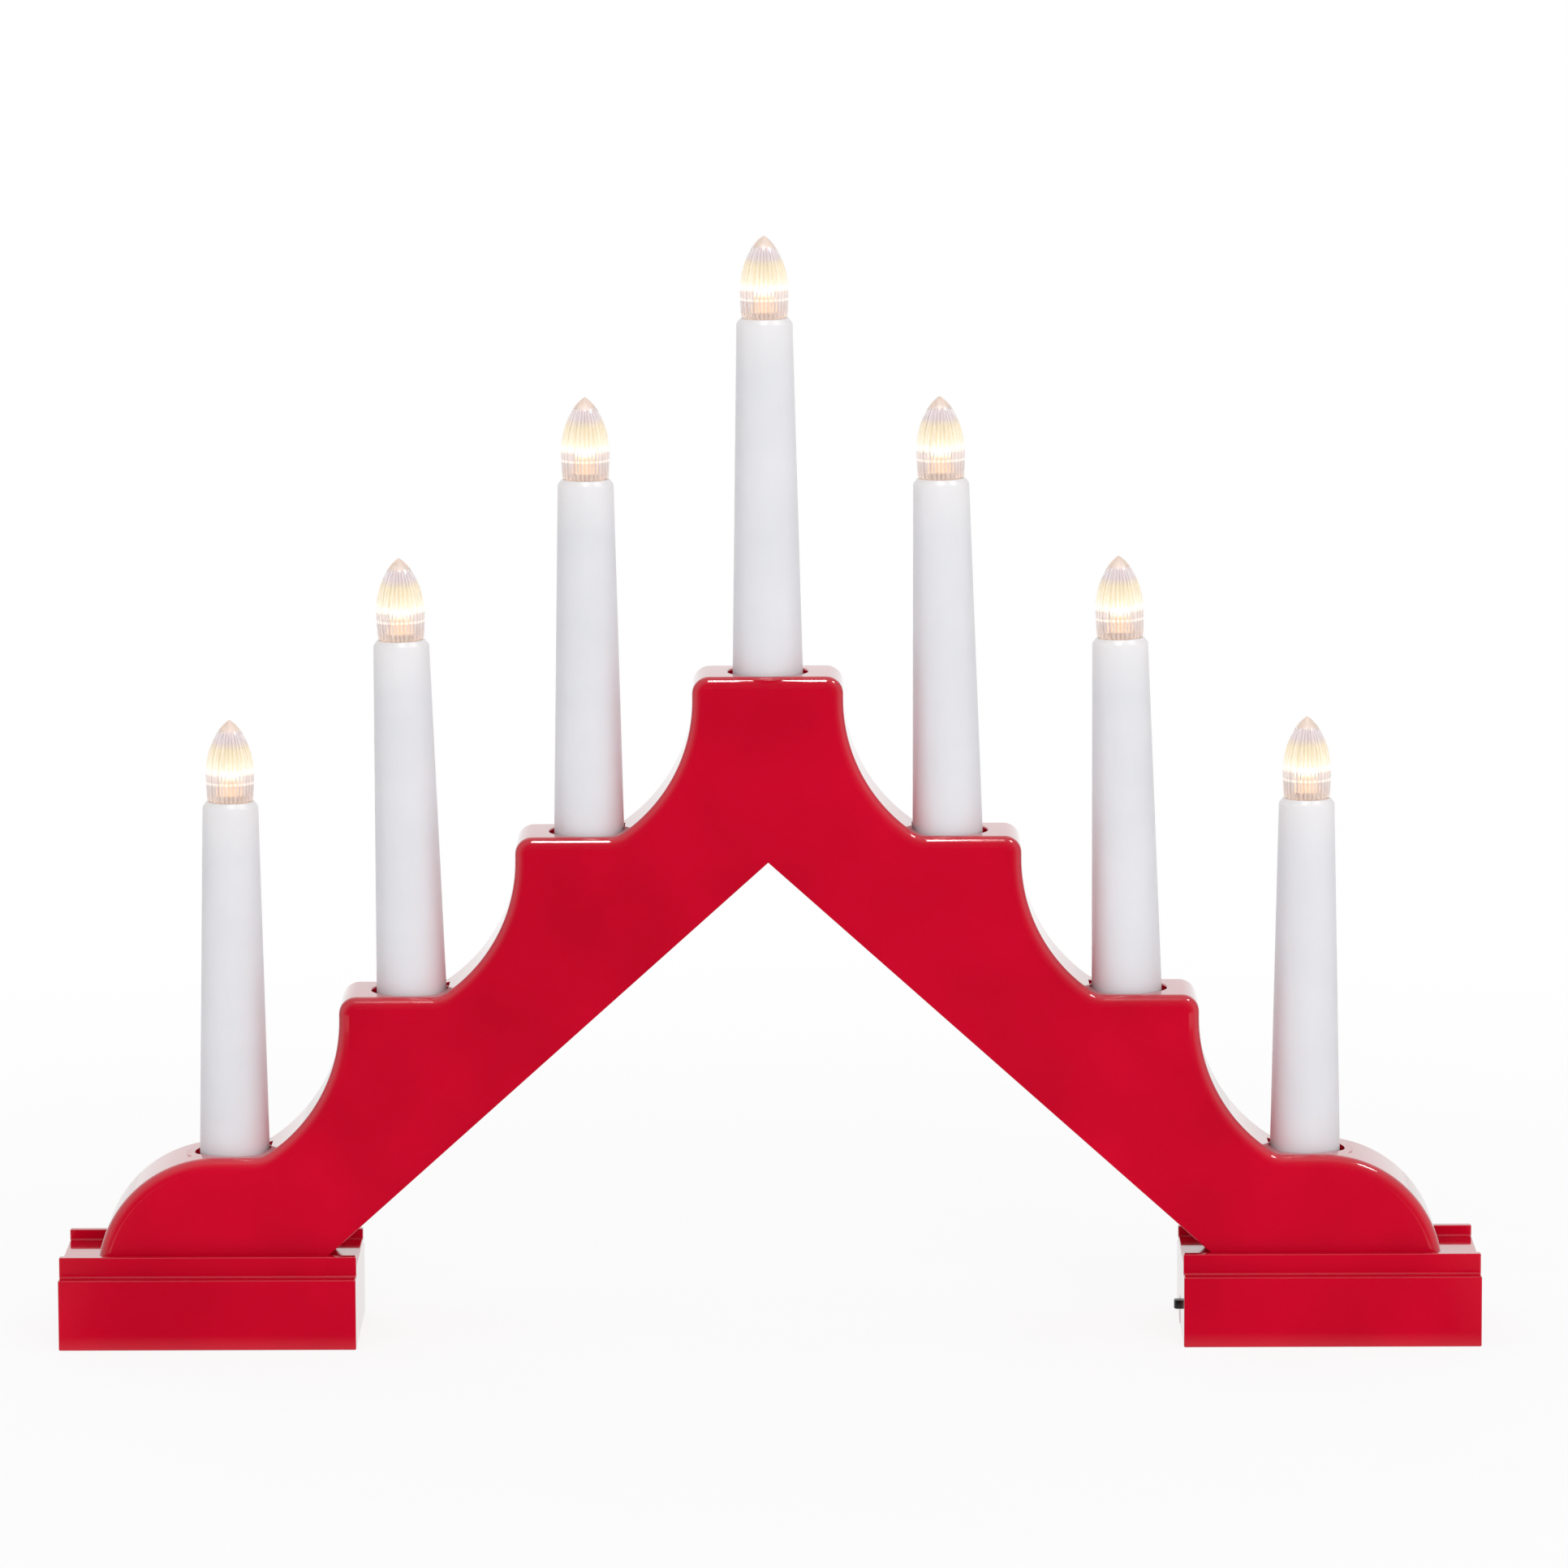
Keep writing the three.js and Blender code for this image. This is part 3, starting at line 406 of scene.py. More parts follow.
def clear_flame_styrene(name):
    """Polystyrene, moulded clear with fine ribs inside. The lamp's light that each rib draws into
    an upright line is painted light, in colour and a glow: lilac under the solid tip, yellow below
    it and white in two bands at the lamp's height, and the smooth solid tip has a painted peach
    glow."""
    material, tree = new_material(name)
    base, tip = BULB_BASE * MM, (BULB_BASE + BULB_HEIGHT) * MM
    share = mapped(tree, kept(tree, "height"), base, tip)
    clear, rib, light = (ramped(tree, share, s) for s in (CLEAR_TINT_AND_PAINTED_LIGHT_TONES, RIB_PAINTED_STREAK_TONES, PAINTED_GLOW_TONES))
    turn = kept(tree, "turn")
    ribs = bpy.context.scene.candlestick_sizes.bulb_ribs
    crest = computed(tree, "COSINE", computed(tree, "MULTIPLY", turn, ribs * math.tau))
    # Painted light: some rib streaks are painted brighter than others, and both sides of a bulb
    # alike
    inputs = {"W": computed(tree, "ABSOLUTE", turn), "Scale": ribs * 1.3, "Detail": 1.0}
    uneven = add_node(tree, "ShaderNodeTexNoise", inputs, noise_dimensions="1D").outputs["Fac"]
    line = computed(tree, "MULTIPLY_ADD", crest, 0.5, ranged(tree, uneven, -0.4, 1.4))
    # Painted streaks and glow: colour and emission follow the ribs and paint the lamp's refracted
    # light
    inputs = {
        "Base Color": mixed(tree, line, clear, rib),
        "Roughness": mapped(tree, share, 0.82, 0.9, 0.04, 0.5),
        "IOR": 1.59,
        "Transmission Weight": 0.7,
        "Emission Color": light,
        "Emission Strength": ranged(tree, line, 1.5, 0.5),
    }
    return principled(material, inputs)


def warm_lamp_epoxy(name):
    """Epoxy, cast round the chip of a warm white lamp: a small lens that glows evenly, a
    little deeper in tone round its flange."""
    material, tree = new_material(name)
    low, high = LAMP_LOW * MM, (LAMP_LOW + LAMP_HEIGHT) * MM
    level = mapped(tree, kept(tree, "height"), low, high)
    tints = {0.0: "ffe6b4", 0.25: "f8c490", 0.6: "fabe78", 0.8: "fff6dc", 1.0: "fffdf6"}
    noise, colour = mottled(tree, "ffdcae", "ffd29a", 1.5 * MM)
    inputs = {
        "Base Color": colour,
        "Roughness": ranged(tree, noise, 0.08, 0.14),
        "IOR": 1.53,
        "Emission Color": ramped(tree, level, tints),
        "Emission Strength": mapped(tree, level, 0.55, 1.0, 1.2, 4.5),
    }
    return principled(material, inputs)


def moulded(name, first, second, grain, rough, depth, ior):
    """A plastic or lacquer with a mottled colour, uneven gloss and a fine skin."""
    material, tree = new_material(name)
    noise, colour = mottled(tree, first, second, grain * MM)
    inputs = {
        "Base Color": colour,
        "Roughness": ranged(tree, noise, *rough),
        "Normal": bumped(tree, noise, depth * MM),
        "IOR": ior,
    }
    return principled(material, inputs)


def drawn_metal(name, first, second, grain, rough):
    """A plated metal: a bright reflection, broken by fine marks of drawing or turning."""
    material, tree = new_material(name)
    inputs = {"Vector": object_place(tree), "Scale": (0.2, 1, 1)}
    stretched = add_node(tree, "ShaderNodeMapping", inputs).outputs["Vector"]
    noise = noise_at(tree, stretched, grain * MM, 4.0)
    inputs = {
        "Base Color": mixed(tree, noise, linear(first), linear(second)),
        "Metallic": 1.0,
        "Roughness": ranged(tree, noise, *rough),
        "Normal": bumped(tree, noise, 0.02 * MM),
    }
    return principled(material, inputs)


def banded_resistor(name):
    """Lacquered ceramic: a tan body with the coloured rings of its value."""
    material, tree = new_material(name)
    place = object_place(tree)
    split = add_node(tree, "ShaderNodeSeparateXYZ", {"Vector": place})
    along = mapped(tree, split.outputs["Y"], -11.5 * MM, -6.5 * MM)
    tan, orange, brown = "d8c39a", "c8641e", "5a3418"
    rings = {0.0: tan, 0.2: orange, 0.3: tan, 0.42: orange, 0.52: tan, 0.62: brown, 0.72: tan}
    noise = noise_at(tree, place, 0.6 * MM)
    inputs = {
        "Base Color": ramped(tree, along, rings, "CONSTANT"),
        "Roughness": ranged(tree, noise, 0.3, 0.5),
        "Normal": bumped(tree, noise, 0.02 * MM),
    }
    return principled(material, inputs)


# Each finish: the function that makes it, its material's name and the function's values, which
# are two tones, the grain in millimetres and the range of roughness, and for the moulded ones
# also the skin's depth in millimetres and the refraction
FINISHES = {
    "red": (glossy_red_abs, "glossy_red_abs"),
    "candle": (satin_candle_plastic, "satin_candle_polypropylene"),
    "bulb": (clear_flame_styrene, "clear_ribbed_polystyrene"),
    "lamp": (warm_lamp_epoxy, "warm_lamp_epoxy"),
    "resistor": (banded_resistor, "banded_resistor_lacquer"),
    # Nylon, moulded: off-white, slightly waxy
    "holder": (moulded, "moulded_white_nylon", "ece9e2", "dedad2", 3, (0.4, 0.55), 0.02, 1.53),
    # Acetal, moulded: black, semi-gloss, with a fine skin that greys its edges
    "black": (moulded, "moulded_black_acetal", "121214", "1e1e21", 1.5, (0.28, 0.45), 0.03, 1.48),
    # PVC film, shrunk on the cell: dark and glossy, faintly uneven where it creeps
    "jacket": (moulded, "shrunk_cell_film", "27343f", "34434f", 6, (0.18, 0.3), 0.04, 1.53),
    # Glass epoxy laminate under solder resist: green, semi-gloss, with a faint weave
    "board": (moulded, "green_glass_epoxy", "24562f", "316b3d", 0.8, (0.3, 0.45), 0.02, 1.55),
    # PVC insulation, extruded: a dull sheen with slight draw marks
    "red_lead": (moulded, "red_pvc_insulation", "a41c1c", "8c1414", 4, (0.35, 0.5), 0.02, 1.53),
    "black_lead": (moulded, "black_pvc_insulation", "18181a", "242427", 4, (0.35, 0.5), 0.02, 1.53),
    # Steel, zinc plated: pale and slightly blue, dulled by the barrel plating
    "screw": (drawn_metal, "zinc_plated_steel", "c3c6ca", "aeb2b6", 0.5, (0.25, 0.42)),
    # Steel, nickel plated: warm and bright, with drawing marks along the wire
    "nickel": (drawn_metal, "nickel_plated_steel", "d2cec6", "bfbab0", 0.7, (0.15, 0.3)),
}


def finish_of(key):
    """The finish with that key, made once."""
    maker, name, *values = FINISHES[key]
    return bpy.data.materials.get(name) or maker(name, *values)


# ---------------------------------------------------------------- forms


def linked(name, data):
    """An object of the scene, at the origin, with its mesh, curve, light or camera."""
    made = bpy.data.objects.new(name, data)
    bpy.context.scene.collection.objects.link(made)
    return made


def new_object(name, points, faces):
    """A mesh object from points in millimetres."""
    mesh = bpy.data.meshes.new(name)
    mesh.from_pydata([Vector(p) * MM for p in points], [], faces)
    mesh.validate()
    return linked(name, mesh)


def span(middle, half):
    """Both ends of a length, from its middle."""
    return (middle - half, middle + half)


def arc(x, z, radius, start, end, steps):
    """Points of an arc, angles in degrees."""
    turns = [math.radians(start + (end - start) * i / steps) for i in range(steps + 1)]
    return [(x + radius * math.cos(t), z + radius * math.sin(t)) for t in turns]


def softened(outline, radius, steps):
    """A closed outline with its corners rounded. A rounding takes up less than half of a side,
    and points on the axis or on a nearly straight line stay as they are."""
    made = []
    side_share, nearly_straight = 0.45, 2.9
    count = len(outline)
    for i, (x, z) in enumerate(outline):
        corner = Vector((x, z))
        before = Vector(outline[i - 1]) - corner
        after = Vector(outline[(i + 1) % count]) - corner
        on_axis = x < 1e-6
        shorter = min(before.length, after.length)
        reach = min(radius, shorter * side_share)
        straight = shorter < 1e-6 or before.angle(after) > nearly_straight
        if on_axis or straight:
            made.append((x, z))
            continue
        first = corner + before.normalized() * reach
        last = corner + after.normalized() * reach
        for k in range(steps + 1):
            t = k / steps
            point = first * (1 - t) ** 2 + corner * (2 * t * (1 - t)) + last * t**2
            made.append((point.x, point.y))
    return made


def turned(name, outline, sides):
    """A closed outline of radius and height, in millimetres, turned round the Z axis."""
    points, rows, faces = [], [], []
    for radius, height in outline:
        if radius < 1e-6:
            rows.append([len(points)] * sides)
            points.append((0, 0, height))
            continue
        rows.append(list(range(len(points), len(points) + sides)))
        for k in range(sides):
            turn = 2 * math.pi * k / sides
            points.append((radius * math.cos(turn), radius * math.sin(turn), height))
    for i, row in enumerate(rows):
        after = rows[(i + 1) % len(rows)]
        for k in range(sides):
            face = [row[k], row[(k + 1) % sides], after[(k + 1) % sides], after[k]]
            face = [p for j, p in enumerate(face) if p != face[j - 1]]
            if len(set(face)) > 2:
                faces.append(face)
    return outward(new_object(name, points, faces))


def outward(body):
    """Closes doubles and turns the faces of a closed mesh outwards."""
    bm = bmesh.new()
    bm.from_mesh(body.data)
    bmesh.ops.remove_doubles(bm, verts=bm.verts, dist=1e-7)
    bmesh.ops.recalc_face_normals(bm, faces=bm.faces)
    bm.to_mesh(body.data)
    bm.free()
    return body


def lofted(name, rings):
    """A closed mesh through rings of equally many points in millimetres, with flat ends."""
    count = len(rings[0])
    last = (len(rings) - 1) * count
    faces = []
    for low in range(0, last, count):
        for k in range(count):
            a, b = low + k, low + (k + 1) % count
            faces.append((a, b, b + count, a + count))
    faces += [tuple(range(count)), tuple(range(last, last + count))]
    return outward(new_object(name, [point for ring in rings for point in ring], faces))


def beam(name, xs, profile):
    """A profile in Y and Z, carried from one X to another."""
    return lofted(name, [[(x, y, z) for y, z in profile] for x in xs])


def block(name, xs, ys, zs, radius=0.0, segments=2):
    """A box between pairs of X, Y and Z in millimetres, with rounded edges if asked."""
    points = [(x, y, z) for x in xs for y in ys for z in zs]
    faces = [(0, 1, 3, 2), (4, 6, 7, 5), (0, 4, 5, 1), (2, 3, 7, 6), (0, 2, 6, 4), (1, 5, 7, 3)]
    body = outward(new_object(name, points, faces))
    return rounded(body, radius, segments) if radius else body


def rounded(body, radius, segments=2, sharper=30):
    """Rounds every edge of a plain mesh that is sharper than an angle in degrees."""
    bm = bmesh.new()
    bm.from_mesh(body.data)
    edges = [e for e in bm.edges if e.calc_face_angle(0) > math.radians(sharper)]
    bmesh.ops.bevel(
        bm,
        geom=edges,
        offset=radius * MM,
        segments=segments,
        profile=0.5,
        affect="EDGES",
        clamp_overlap=True,
    )
    bm.to_mesh(body.data)
    bm.free()
    return body


def post(name, radius, low, high, sides, x=0.0, y=0.0):
    """An upright round bar."""
    outline = [(0, low), (radius, low), (radius, high), (0, high)]
    return moved(turned(name, outline, sides), Matrix.Translation((x * MM, y * MM, 0)))


def moved(body, matrix):
    """Moves a mesh, and leaves its object at the origin."""
    body.data.transform(matrix)
    return body


def mirrored(body):
    """Turns a piece of the right foot into its twin on the left."""
    moved(body, Matrix.Scale(-1, 4, (1, 0, 0)))
    body.data.flip_normals()
    return body


def combined(body, tools, operation):
    """A boolean of closed meshes. The tools are used up."""
    for tool in tools:
        step = body.modifiers.new("step", "BOOLEAN")
        step.operation = operation
        step.solver = "EXACT"
        step.object = tool
        settle(body)
        bpy.data.objects.remove(tool)
    return body


def settle(body):
    """Makes a piece's modifiers part of its mesh, and removes them."""
    bpy.context.view_layer.update()
    seen = body.evaluated_get(bpy.context.evaluated_depsgraph_get())
    mesh = bpy.data.meshes.new_from_object(seen)
    mesh.name = body.name
    body.modifiers.clear()
    old = body.data
    body.data = mesh
    bpy.data.meshes.remove(old)
    return body


def joined(name, bodies):
    """Several meshes as one object, each still closed by itself."""
    bm = bmesh.new()
    for part in bodies:
        bm.from_mesh(part.data)
        bpy.data.objects.remove(part)
    mesh = bpy.data.meshes.new(name)
    bm.to_mesh(mesh)
    bm.free()
    return linked(name, mesh)


def smooth(body, angle=40, weighted=False):
    """Smooth shading that stays crisp at edges sharper than an angle in degrees."""
    body.data.shade_smooth()
    body.data.set_sharp_from_angle(angle=math.radians(angle))
    if weighted:
        step = body.modifiers.new("weighted", "WEIGHTED_NORMAL")
        step.mode = "FACE_AREA"
        step.keep_sharp = True
        settle(body)
    return body


def dressed(body, finish, slot, carrier, *nodes):
    """Gives a finished piece its material, its CAD body and the nodes it stands for. The slot is
    not used.
    """
    if finish:
        body.data.materials.clear()
        body.data.materials.append(finish_of(finish))
    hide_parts(*nodes)
    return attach(body, carrier)


def shelf_height(step):
    """Height of the shelf a number of steps from the middle."""
    steps = abs(step)
    return TOP_SHELF - steps * SHELF_RISE - (LOW_RISE_EXTRA if steps == MIDDLE else 0.0)


def candle_frame(index):
    """Place and lean of a candle's own axis, from the first on the left, in metres."""
    step = index - MIDDLE
    place = Vector((step * CANDLE_PITCH, 0, shelf_height(step))) * MM
    lean = Matrix.Rotation(math.radians(CANDLE_LEAN[index]), 4, "Y")
    return Matrix.Translation(place) @ lean


def keep_height(body):
    """Keeps each point's height and its turn round the axis, before the piece is placed."""
    for name in ("height", "turn"):
        layer = body.data.attributes.new(name, "FLOAT", "POINT")
        for i, vertex in enumerate(body.data.vertices):
            x, y, z = vertex.co
            layer.data[i].value = z if name == "height" else math.atan2(y, x) / math.tau
    return body


def geometry_tree(name, inputs):
    """A geometry tree with a geometry input and named inputs after it."""
    tree = bpy.data.node_groups.new(name, "GeometryNodeTree")
    tree.is_modifier = True
    tree.interface.new_socket("Geometry", in_out="INPUT", socket_type="NodeSocketGeometry")
    for label, (kind, value) in inputs.items():
        socket = tree.interface.new_socket(label, in_out="INPUT", socket_type=kind)
        if value is not None:
            socket.default_value = value
    tree.interface.new_socket("Geometry", in_out="OUTPUT", socket_type="NodeSocketGeometry")
    return tree, tree.nodes.new("NodeGroupInput").outputs


def close_tree(tree, geometry, material):
    """Ends a tree with plain geometry that has its material."""
    plain = add_node(tree, "GeometryNodeRealizeInstances", {"Geometry": geometry})
    inputs = {"Geometry": plain.outputs["Geometry"], "Material": material}
    painted = add_node(tree, "GeometryNodeSetMaterial", inputs)
    add_node(tree, "NodeGroupOutput", {"Geometry": painted.outputs["Geometry"]})
    return tree


def repeated(tree, points, thing, **inputs):
    """The mesh of an object on each of some points."""
    form = add_node(tree, "GeometryNodeObjectInfo", {"Object": thing}).outputs["Geometry"]
    inputs = {"Points": points, "Instance": form, **inputs}
    return add_node(tree, "GeometryNodeInstanceOnPoints", inputs).outputs["Instances"]


def run_tree(body, tree, values):
    """Runs a tree on a piece with its inputs set, and keeps the result as a plain mesh."""
    step = body.modifiers.new("nodes", "NODES")
    step.node_group = tree
    for item in tree.interface.items_tree:
        if item.item_type == "SOCKET" and item.in_out == "INPUT" and item.name in values:
            step[item.identifier] = values[item.name]
    return settle(body)


# ---------------------------------------------------------------- arch


def under_line(x):
    """Height of the arch's underside."""
    return APEX - UNDER_SLOPE * abs(x)


def arch_half(z):
    """Half of the arch's depth at a height."""
    return BASE_HALF - MOULD_DRAFT * (z - DECK_TOP) / (TOP_SHELF - DECK_TOP)


def stair_side(inset):
    """The stair from the top shelf down the right side to the deck, drawn in by an inset."""
    points = []
    for step in range(MIDDLE):
        shelf = shelf_height(step)
        edge = TOP_SHELF_HALF + step * STEP_RUN
        corner = SHELF_CORNER
        points += arc(edge - corner, shelf - corner, corner - inset, 90, 0, 10)
        arc_x = edge + RISER_ARC
        arc_z = shelf - RISER_DROP
        foot_z = shelf_height(step + 1) + RISER_FOOT
        reach = RISER_ARC - RISER_FOOT
        foot_x = arc_x - math.sqrt(reach**2 - (arc_z - foot_z) ** 2)
        meet = math.degrees(math.atan2(arc_z - foot_z, arc_x - foot_x))
        points += arc(arc_x, arc_z, RISER_ARC + inset, 180, 180 + meet, 26)
        points += arc(foot_x, foot_z, RISER_FOOT + inset, 180 + meet, 270, 8)[1:]
    radius = END_ARC - inset
    low = math.degrees(math.asin((DECK_TOP - END_ARC_Z) / radius))
    points += arc(END_ARC_X, END_ARC_Z, radius, 90, low, 36)
    return points


def both_sides(right):
    """A closed outline from its right half, listed from the middle outwards."""
    left = [(-x, z) for x, z in right if x > 1e-6]
    return right + left[::-1]


def arch_outline(inset, under_inset):
    """Outline of the arch with its underside, which has a crisper edge of its own."""
    reach = (APEX - DECK_TOP) / UNDER_SLOPE + under_inset / math.sin(UNDER_ANGLE)
    peak = APEX + under_inset / math.cos(UNDER_ANGLE)
    return both_sides([*stair_side(inset), (reach, DECK_TOP), (0, peak)])


def edge_inset(radius, depth):
    """How far a rounded edge draws an outline in at a depth behind the face."""
    if depth >= radius:
        return 0.0
    return radius - math.sqrt(radius**2 - (radius - depth) ** 2)


def arch_solid(name, fillet):
    """The arch without its hollow: rings of the outline that round over the long edges."""
    angles = (90, 80, 69, 57, 45, 33, 21, 10, 0)
    depths = [fillet * (1 - math.sin(math.radians(angle))) for angle in angles]
    rings = []
    for side, depth in [(-1, d) for d in depths] + [(1, d) for d in reversed(depths)]:
        outline = arch_outline(edge_inset(fillet, depth), edge_inset(UNDER_EDGE, depth))
        share = (BASE_HALF - depth) / BASE_HALF
        rings.append([(x, side * share * arch_half(z), z) for x, z in outline])
    return lofted(name, rings)


def arch_core(wall):
    """The hollow of the arch, open below."""
    low = DECK_TOP - DEEP_OVERRUN
    side = stair_side(wall)
    outline = both_sides([*side, (side[-1][0], low), (0, low)])
    rings = [[(x, way * (arch_half(z) - wall), z) for x, z in outline] for way in (-1, 1)]
    return lofted("core", rings)


def well_section(shelf):
    """Half section of the well in a shelf, with its rounded rim."""
    edge = shelf - WELL_RIM
    return [
        (0, shelf - WELL_DEPTH),
        (WELL_RADIUS, shelf - WELL_DEPTH),
        (WELL_RADIUS, edge),
        *arc(WELL_RADIUS + WELL_RIM, edge, WELL_RIM, 180, 90, 4)[1:],
        (WELL_RADIUS + WELL_RIM + 0.02, shelf + OVERRUN),
        (0, shelf + OVERRUN),
    ]


class CANDLESTICK_OT_arch(bpy.types.Operator):
    """Makes the hollow red stair arch with its seven wells"""

    bl_idname = "candlestick.arch"
    bl_label = "Stair Arch"

    def execute(self, context):
        sizes = context.scene.candlestick_sizes
        casing = arch_solid("arch_casing", sizes.arch_fillet / MM)
        combined(casing, [arch_core(sizes.wall / MM)], "DIFFERENCE")
        cups, holes = [], []
        for i in range(CANDLES):
            x, shelf = (i - MIDDLE) * CANDLE_PITCH, shelf_height(i - MIDDLE)
            floor = shelf - WELL_DEPTH
            cup = (WELL_RADIUS + CUP_WALL, floor - WELL_FLOOR, shelf - CUP_DROP)
            cups.append(post("cup", *cup, WELL_SIDES, x))
            well = turned("well", well_section(shelf), WELL_SIDES)
            holes.append(moved(well, Matrix.Translation((x * MM, 0, 0))))
            ends = (floor - DEEP_OVERRUN, floor + OVERRUN)
            holes.append(post("spigot_hole", SPIGOT_HOLE, *ends, SPIGOT_SIDES, x))
        combined(casing, cups, "UNION")
        for x in LEG_SCREWS:
            ends = (DECK_TOP, DECK_TOP + BOSS_HEIGHT)
            combined(casing, [post("boss", BOSS_RADIUS, *ends, BOSS_SIDES, x)], "UNION")
            ends = (DECK_TOP - OVERRUN, DECK_TOP + LEG_SCREW_LENGTH)
            holes.append(post("pilot", PILOT_RADIUS, *ends, PILOT_SIDES, x))
        combined(casing, holes, "DIFFERENCE")
        smooth(casing, weighted=True)
        dressed(casing, "red", "red_shell", ROOT, "arch_shell")
        return {"FINISHED"}


# ---------------------------------------------------------------- feet


def foot_profile():
    """Outline of a foot in Y and Z: box, ledges, rails and the deck between them."""
    left = [
        (-FOOT_HALF, 0),
        (-FOOT_HALF, FOOT_BOX_TOP),
        *arc(-RAIL_HALF - LEDGE_COVE, FOOT_BOX_TOP + LEDGE_COVE, LEDGE_COVE, 270, 360, 4),
        (-RAIL_HALF, RAIL_TOP),
        (-CHANNEL_HALF, RAIL_TOP),
        (-CHANNEL_HALF, DECK_TOP),
    ]
    return left + [(-y, z) for y, z in reversed(left)]


def foot_casing(name, with_switch, radius):
    """The right foot, hollow, with its bay, partition, deck and grooves for the lid."""
    casing = beam(name, (FOOT_INNER, FOOT_OUTER), foot_profile())
    rounded(casing, radius, 4, 35)
    outer = FOOT_OUTER + OVERRUN
    partition = (SWITCH_ROOM[1] - OVERRUN, BAY[0] + OVERRUN)
    inside, low = span(0, BAY_HALF), -OVERRUN
    lid_top = LID_TOP + SLIDE_GAP
    groove = (span(0, BAY_HALF + TONGUE_REACH), (TONGUE_LOW - SLIDE_GAP, lid_top))
    deck = (DECK_CEILING - OVERRUN, DECK_TOP + OVERRUN)
    cuts = [
        block("cut", partition, inside, (low, LID_TOP + SEAT_GAP)),
        block("cut", partition, span(0, LEAD_PASS_HALF), (LEAD_PASS_LOW, DECK_CEILING)),
        block("cut", (SWITCH_ROOM[0], outer), *groove),
        block("cut", (BAY[0], outer), inside, (low, lid_top)),
        post("cut", LEAD_HOLE, *deck, BOSS_SIDES, *LEAD_HOLE_AT),
    ]
    for room in (SWITCH_ROOM, BAY):
        cuts.append(block("cut", room, inside, (low, BAY_CEILING)))
        upper = (BAY_CEILING - OVERRUN, DECK_CEILING)
        cuts.append(block("cut", room, span(0, DECK_ROOM_HALF), upper))
    for x in LEG_SCREWS[1::2]:
        cuts.append(post("cut", SCREW_HOLE, *deck, PILOT_SIDES, x))
    combined(casing, cuts, "DIFFERENCE")
    if with_switch:
        middles = (SWITCH_Y - CRADLE_OFFSET, SWITCH_Y + CRADLE_OFFSET)
        ribs = [block("rib", CRADLE_X, span(y, CRADLE_HALF), CRADLE_Z) for y in middles]
        combined(casing, ribs, "UNION")
        ends = (FOOT_INNER - OVERRUN, SWITCH_ROOM[0])
        slot = block("slot", ends, span(SWITCH_Y, SLOT_HALF), (low, SLOT_TOP))
        combined(casing, [slot], "DIFFERENCE")
    return casing


class CANDLESTICK_OT_feet(bpy.types.Operator):
    """Makes the two red battery boxes that the arch stands on"""

    bl_idname = "candlestick.feet"
    bl_label = "Battery Box Feet"

    def execute(self, context):
        radius = context.scene.candlestick_sizes.foot_radius / MM
        for side in ("left", "right"):
            casing = foot_casing(f"foot_casing_{side}", side == "right", radius)
            if side == "left":
                mirrored(casing)
            smooth(casing, weighted=True)
            dressed(casing, "red", "red_shell", ROOT, f"foot_housing_{side}")
        return {"FINISHED"}


# ---------------------------------------------------------------- candles


def candle_outline():
    """Half section of a candle tube: spigot, taper, rim, socket and bore."""
    shoulder = SEAT_GAP - WELL_DEPTH
    step = RIM_HEIGHT - SOCKET_DEPTH
    spigot = [(BORE, SPIGOT_END), (5.8, SPIGOT_END), (SPIGOT, BEAD - 1.2), (7.0, BEAD - 0.6)]
    spigot += [(SPIGOT, BEAD), (SPIGOT, shoulder)]
    foot = [(7.1, shoulder), (TUBE_FOOT, shoulder + 0.3), (TUBE_FOOT, 0.0)]
    shares = (0.2, 0.4, 0.6, 0.8, 0.9, 0.96)
    taper = [(TUBE_FOOT + (TUBE_TOP - TUBE_FOOT) * t, TAPER_TOP * t) for t in shares]
    rim = [(TUBE_TOP, TAPER_TOP + 0.05), (5.84, 73.6), (5.72, 73.82), (5.12, 74.56)]
    rim += [(5.04, 74.66), (4.92, RIM_HEIGHT)]
    socket = [(4.55, RIM_HEIGHT), (SOCKET, RIM_HEIGHT - 0.15), (SOCKET, step), (BORE, step)]
    return spigot + foot + taper + rim + socket


class CANDLESTICK_OT_candles(bpy.types.Operator):
    """Makes the seven tapered candle tubes, each with its own slight lean"""

    bl_idname = "candlestick.candles"
    bl_label = "Candle Tubes"

    def execute(self, context):
        sides = context.scene.candlestick_sizes.round_sides
        for i in range(CANDLES):
            tube = keep_height(turned(f"candle_{i + 1}", candle_outline(), sides))
            smooth(moved(tube, candle_frame(i)))
            dressed(tube, "candle", "candle_white", ROOT, f"candle_tube_{i + 1}")
        return {"FINISHED"}


def flame_curve(radius, waist, tip, steps):
    """The flame's curve from its belly to its tip."""
    rise = tip - waist
    low, high = waist + FLAME_PULLS[0] * rise, waist + FLAME_PULLS[1] * rise
    pulls = ((radius, waist), (radius, low), (radius / 2, high), (0, tip))
    made = []
    for i in range(steps):
        t = i / steps
        weights = ((1 - t) ** 3, 3 * t * (1 - t) ** 2, 3 * t * t * (1 - t), t**3)
        made.append(tuple(sum(w * p[k] for w, p in zip(weights, pulls)) for k in (0, 1)))
    return [*made, (0.0, tip)]


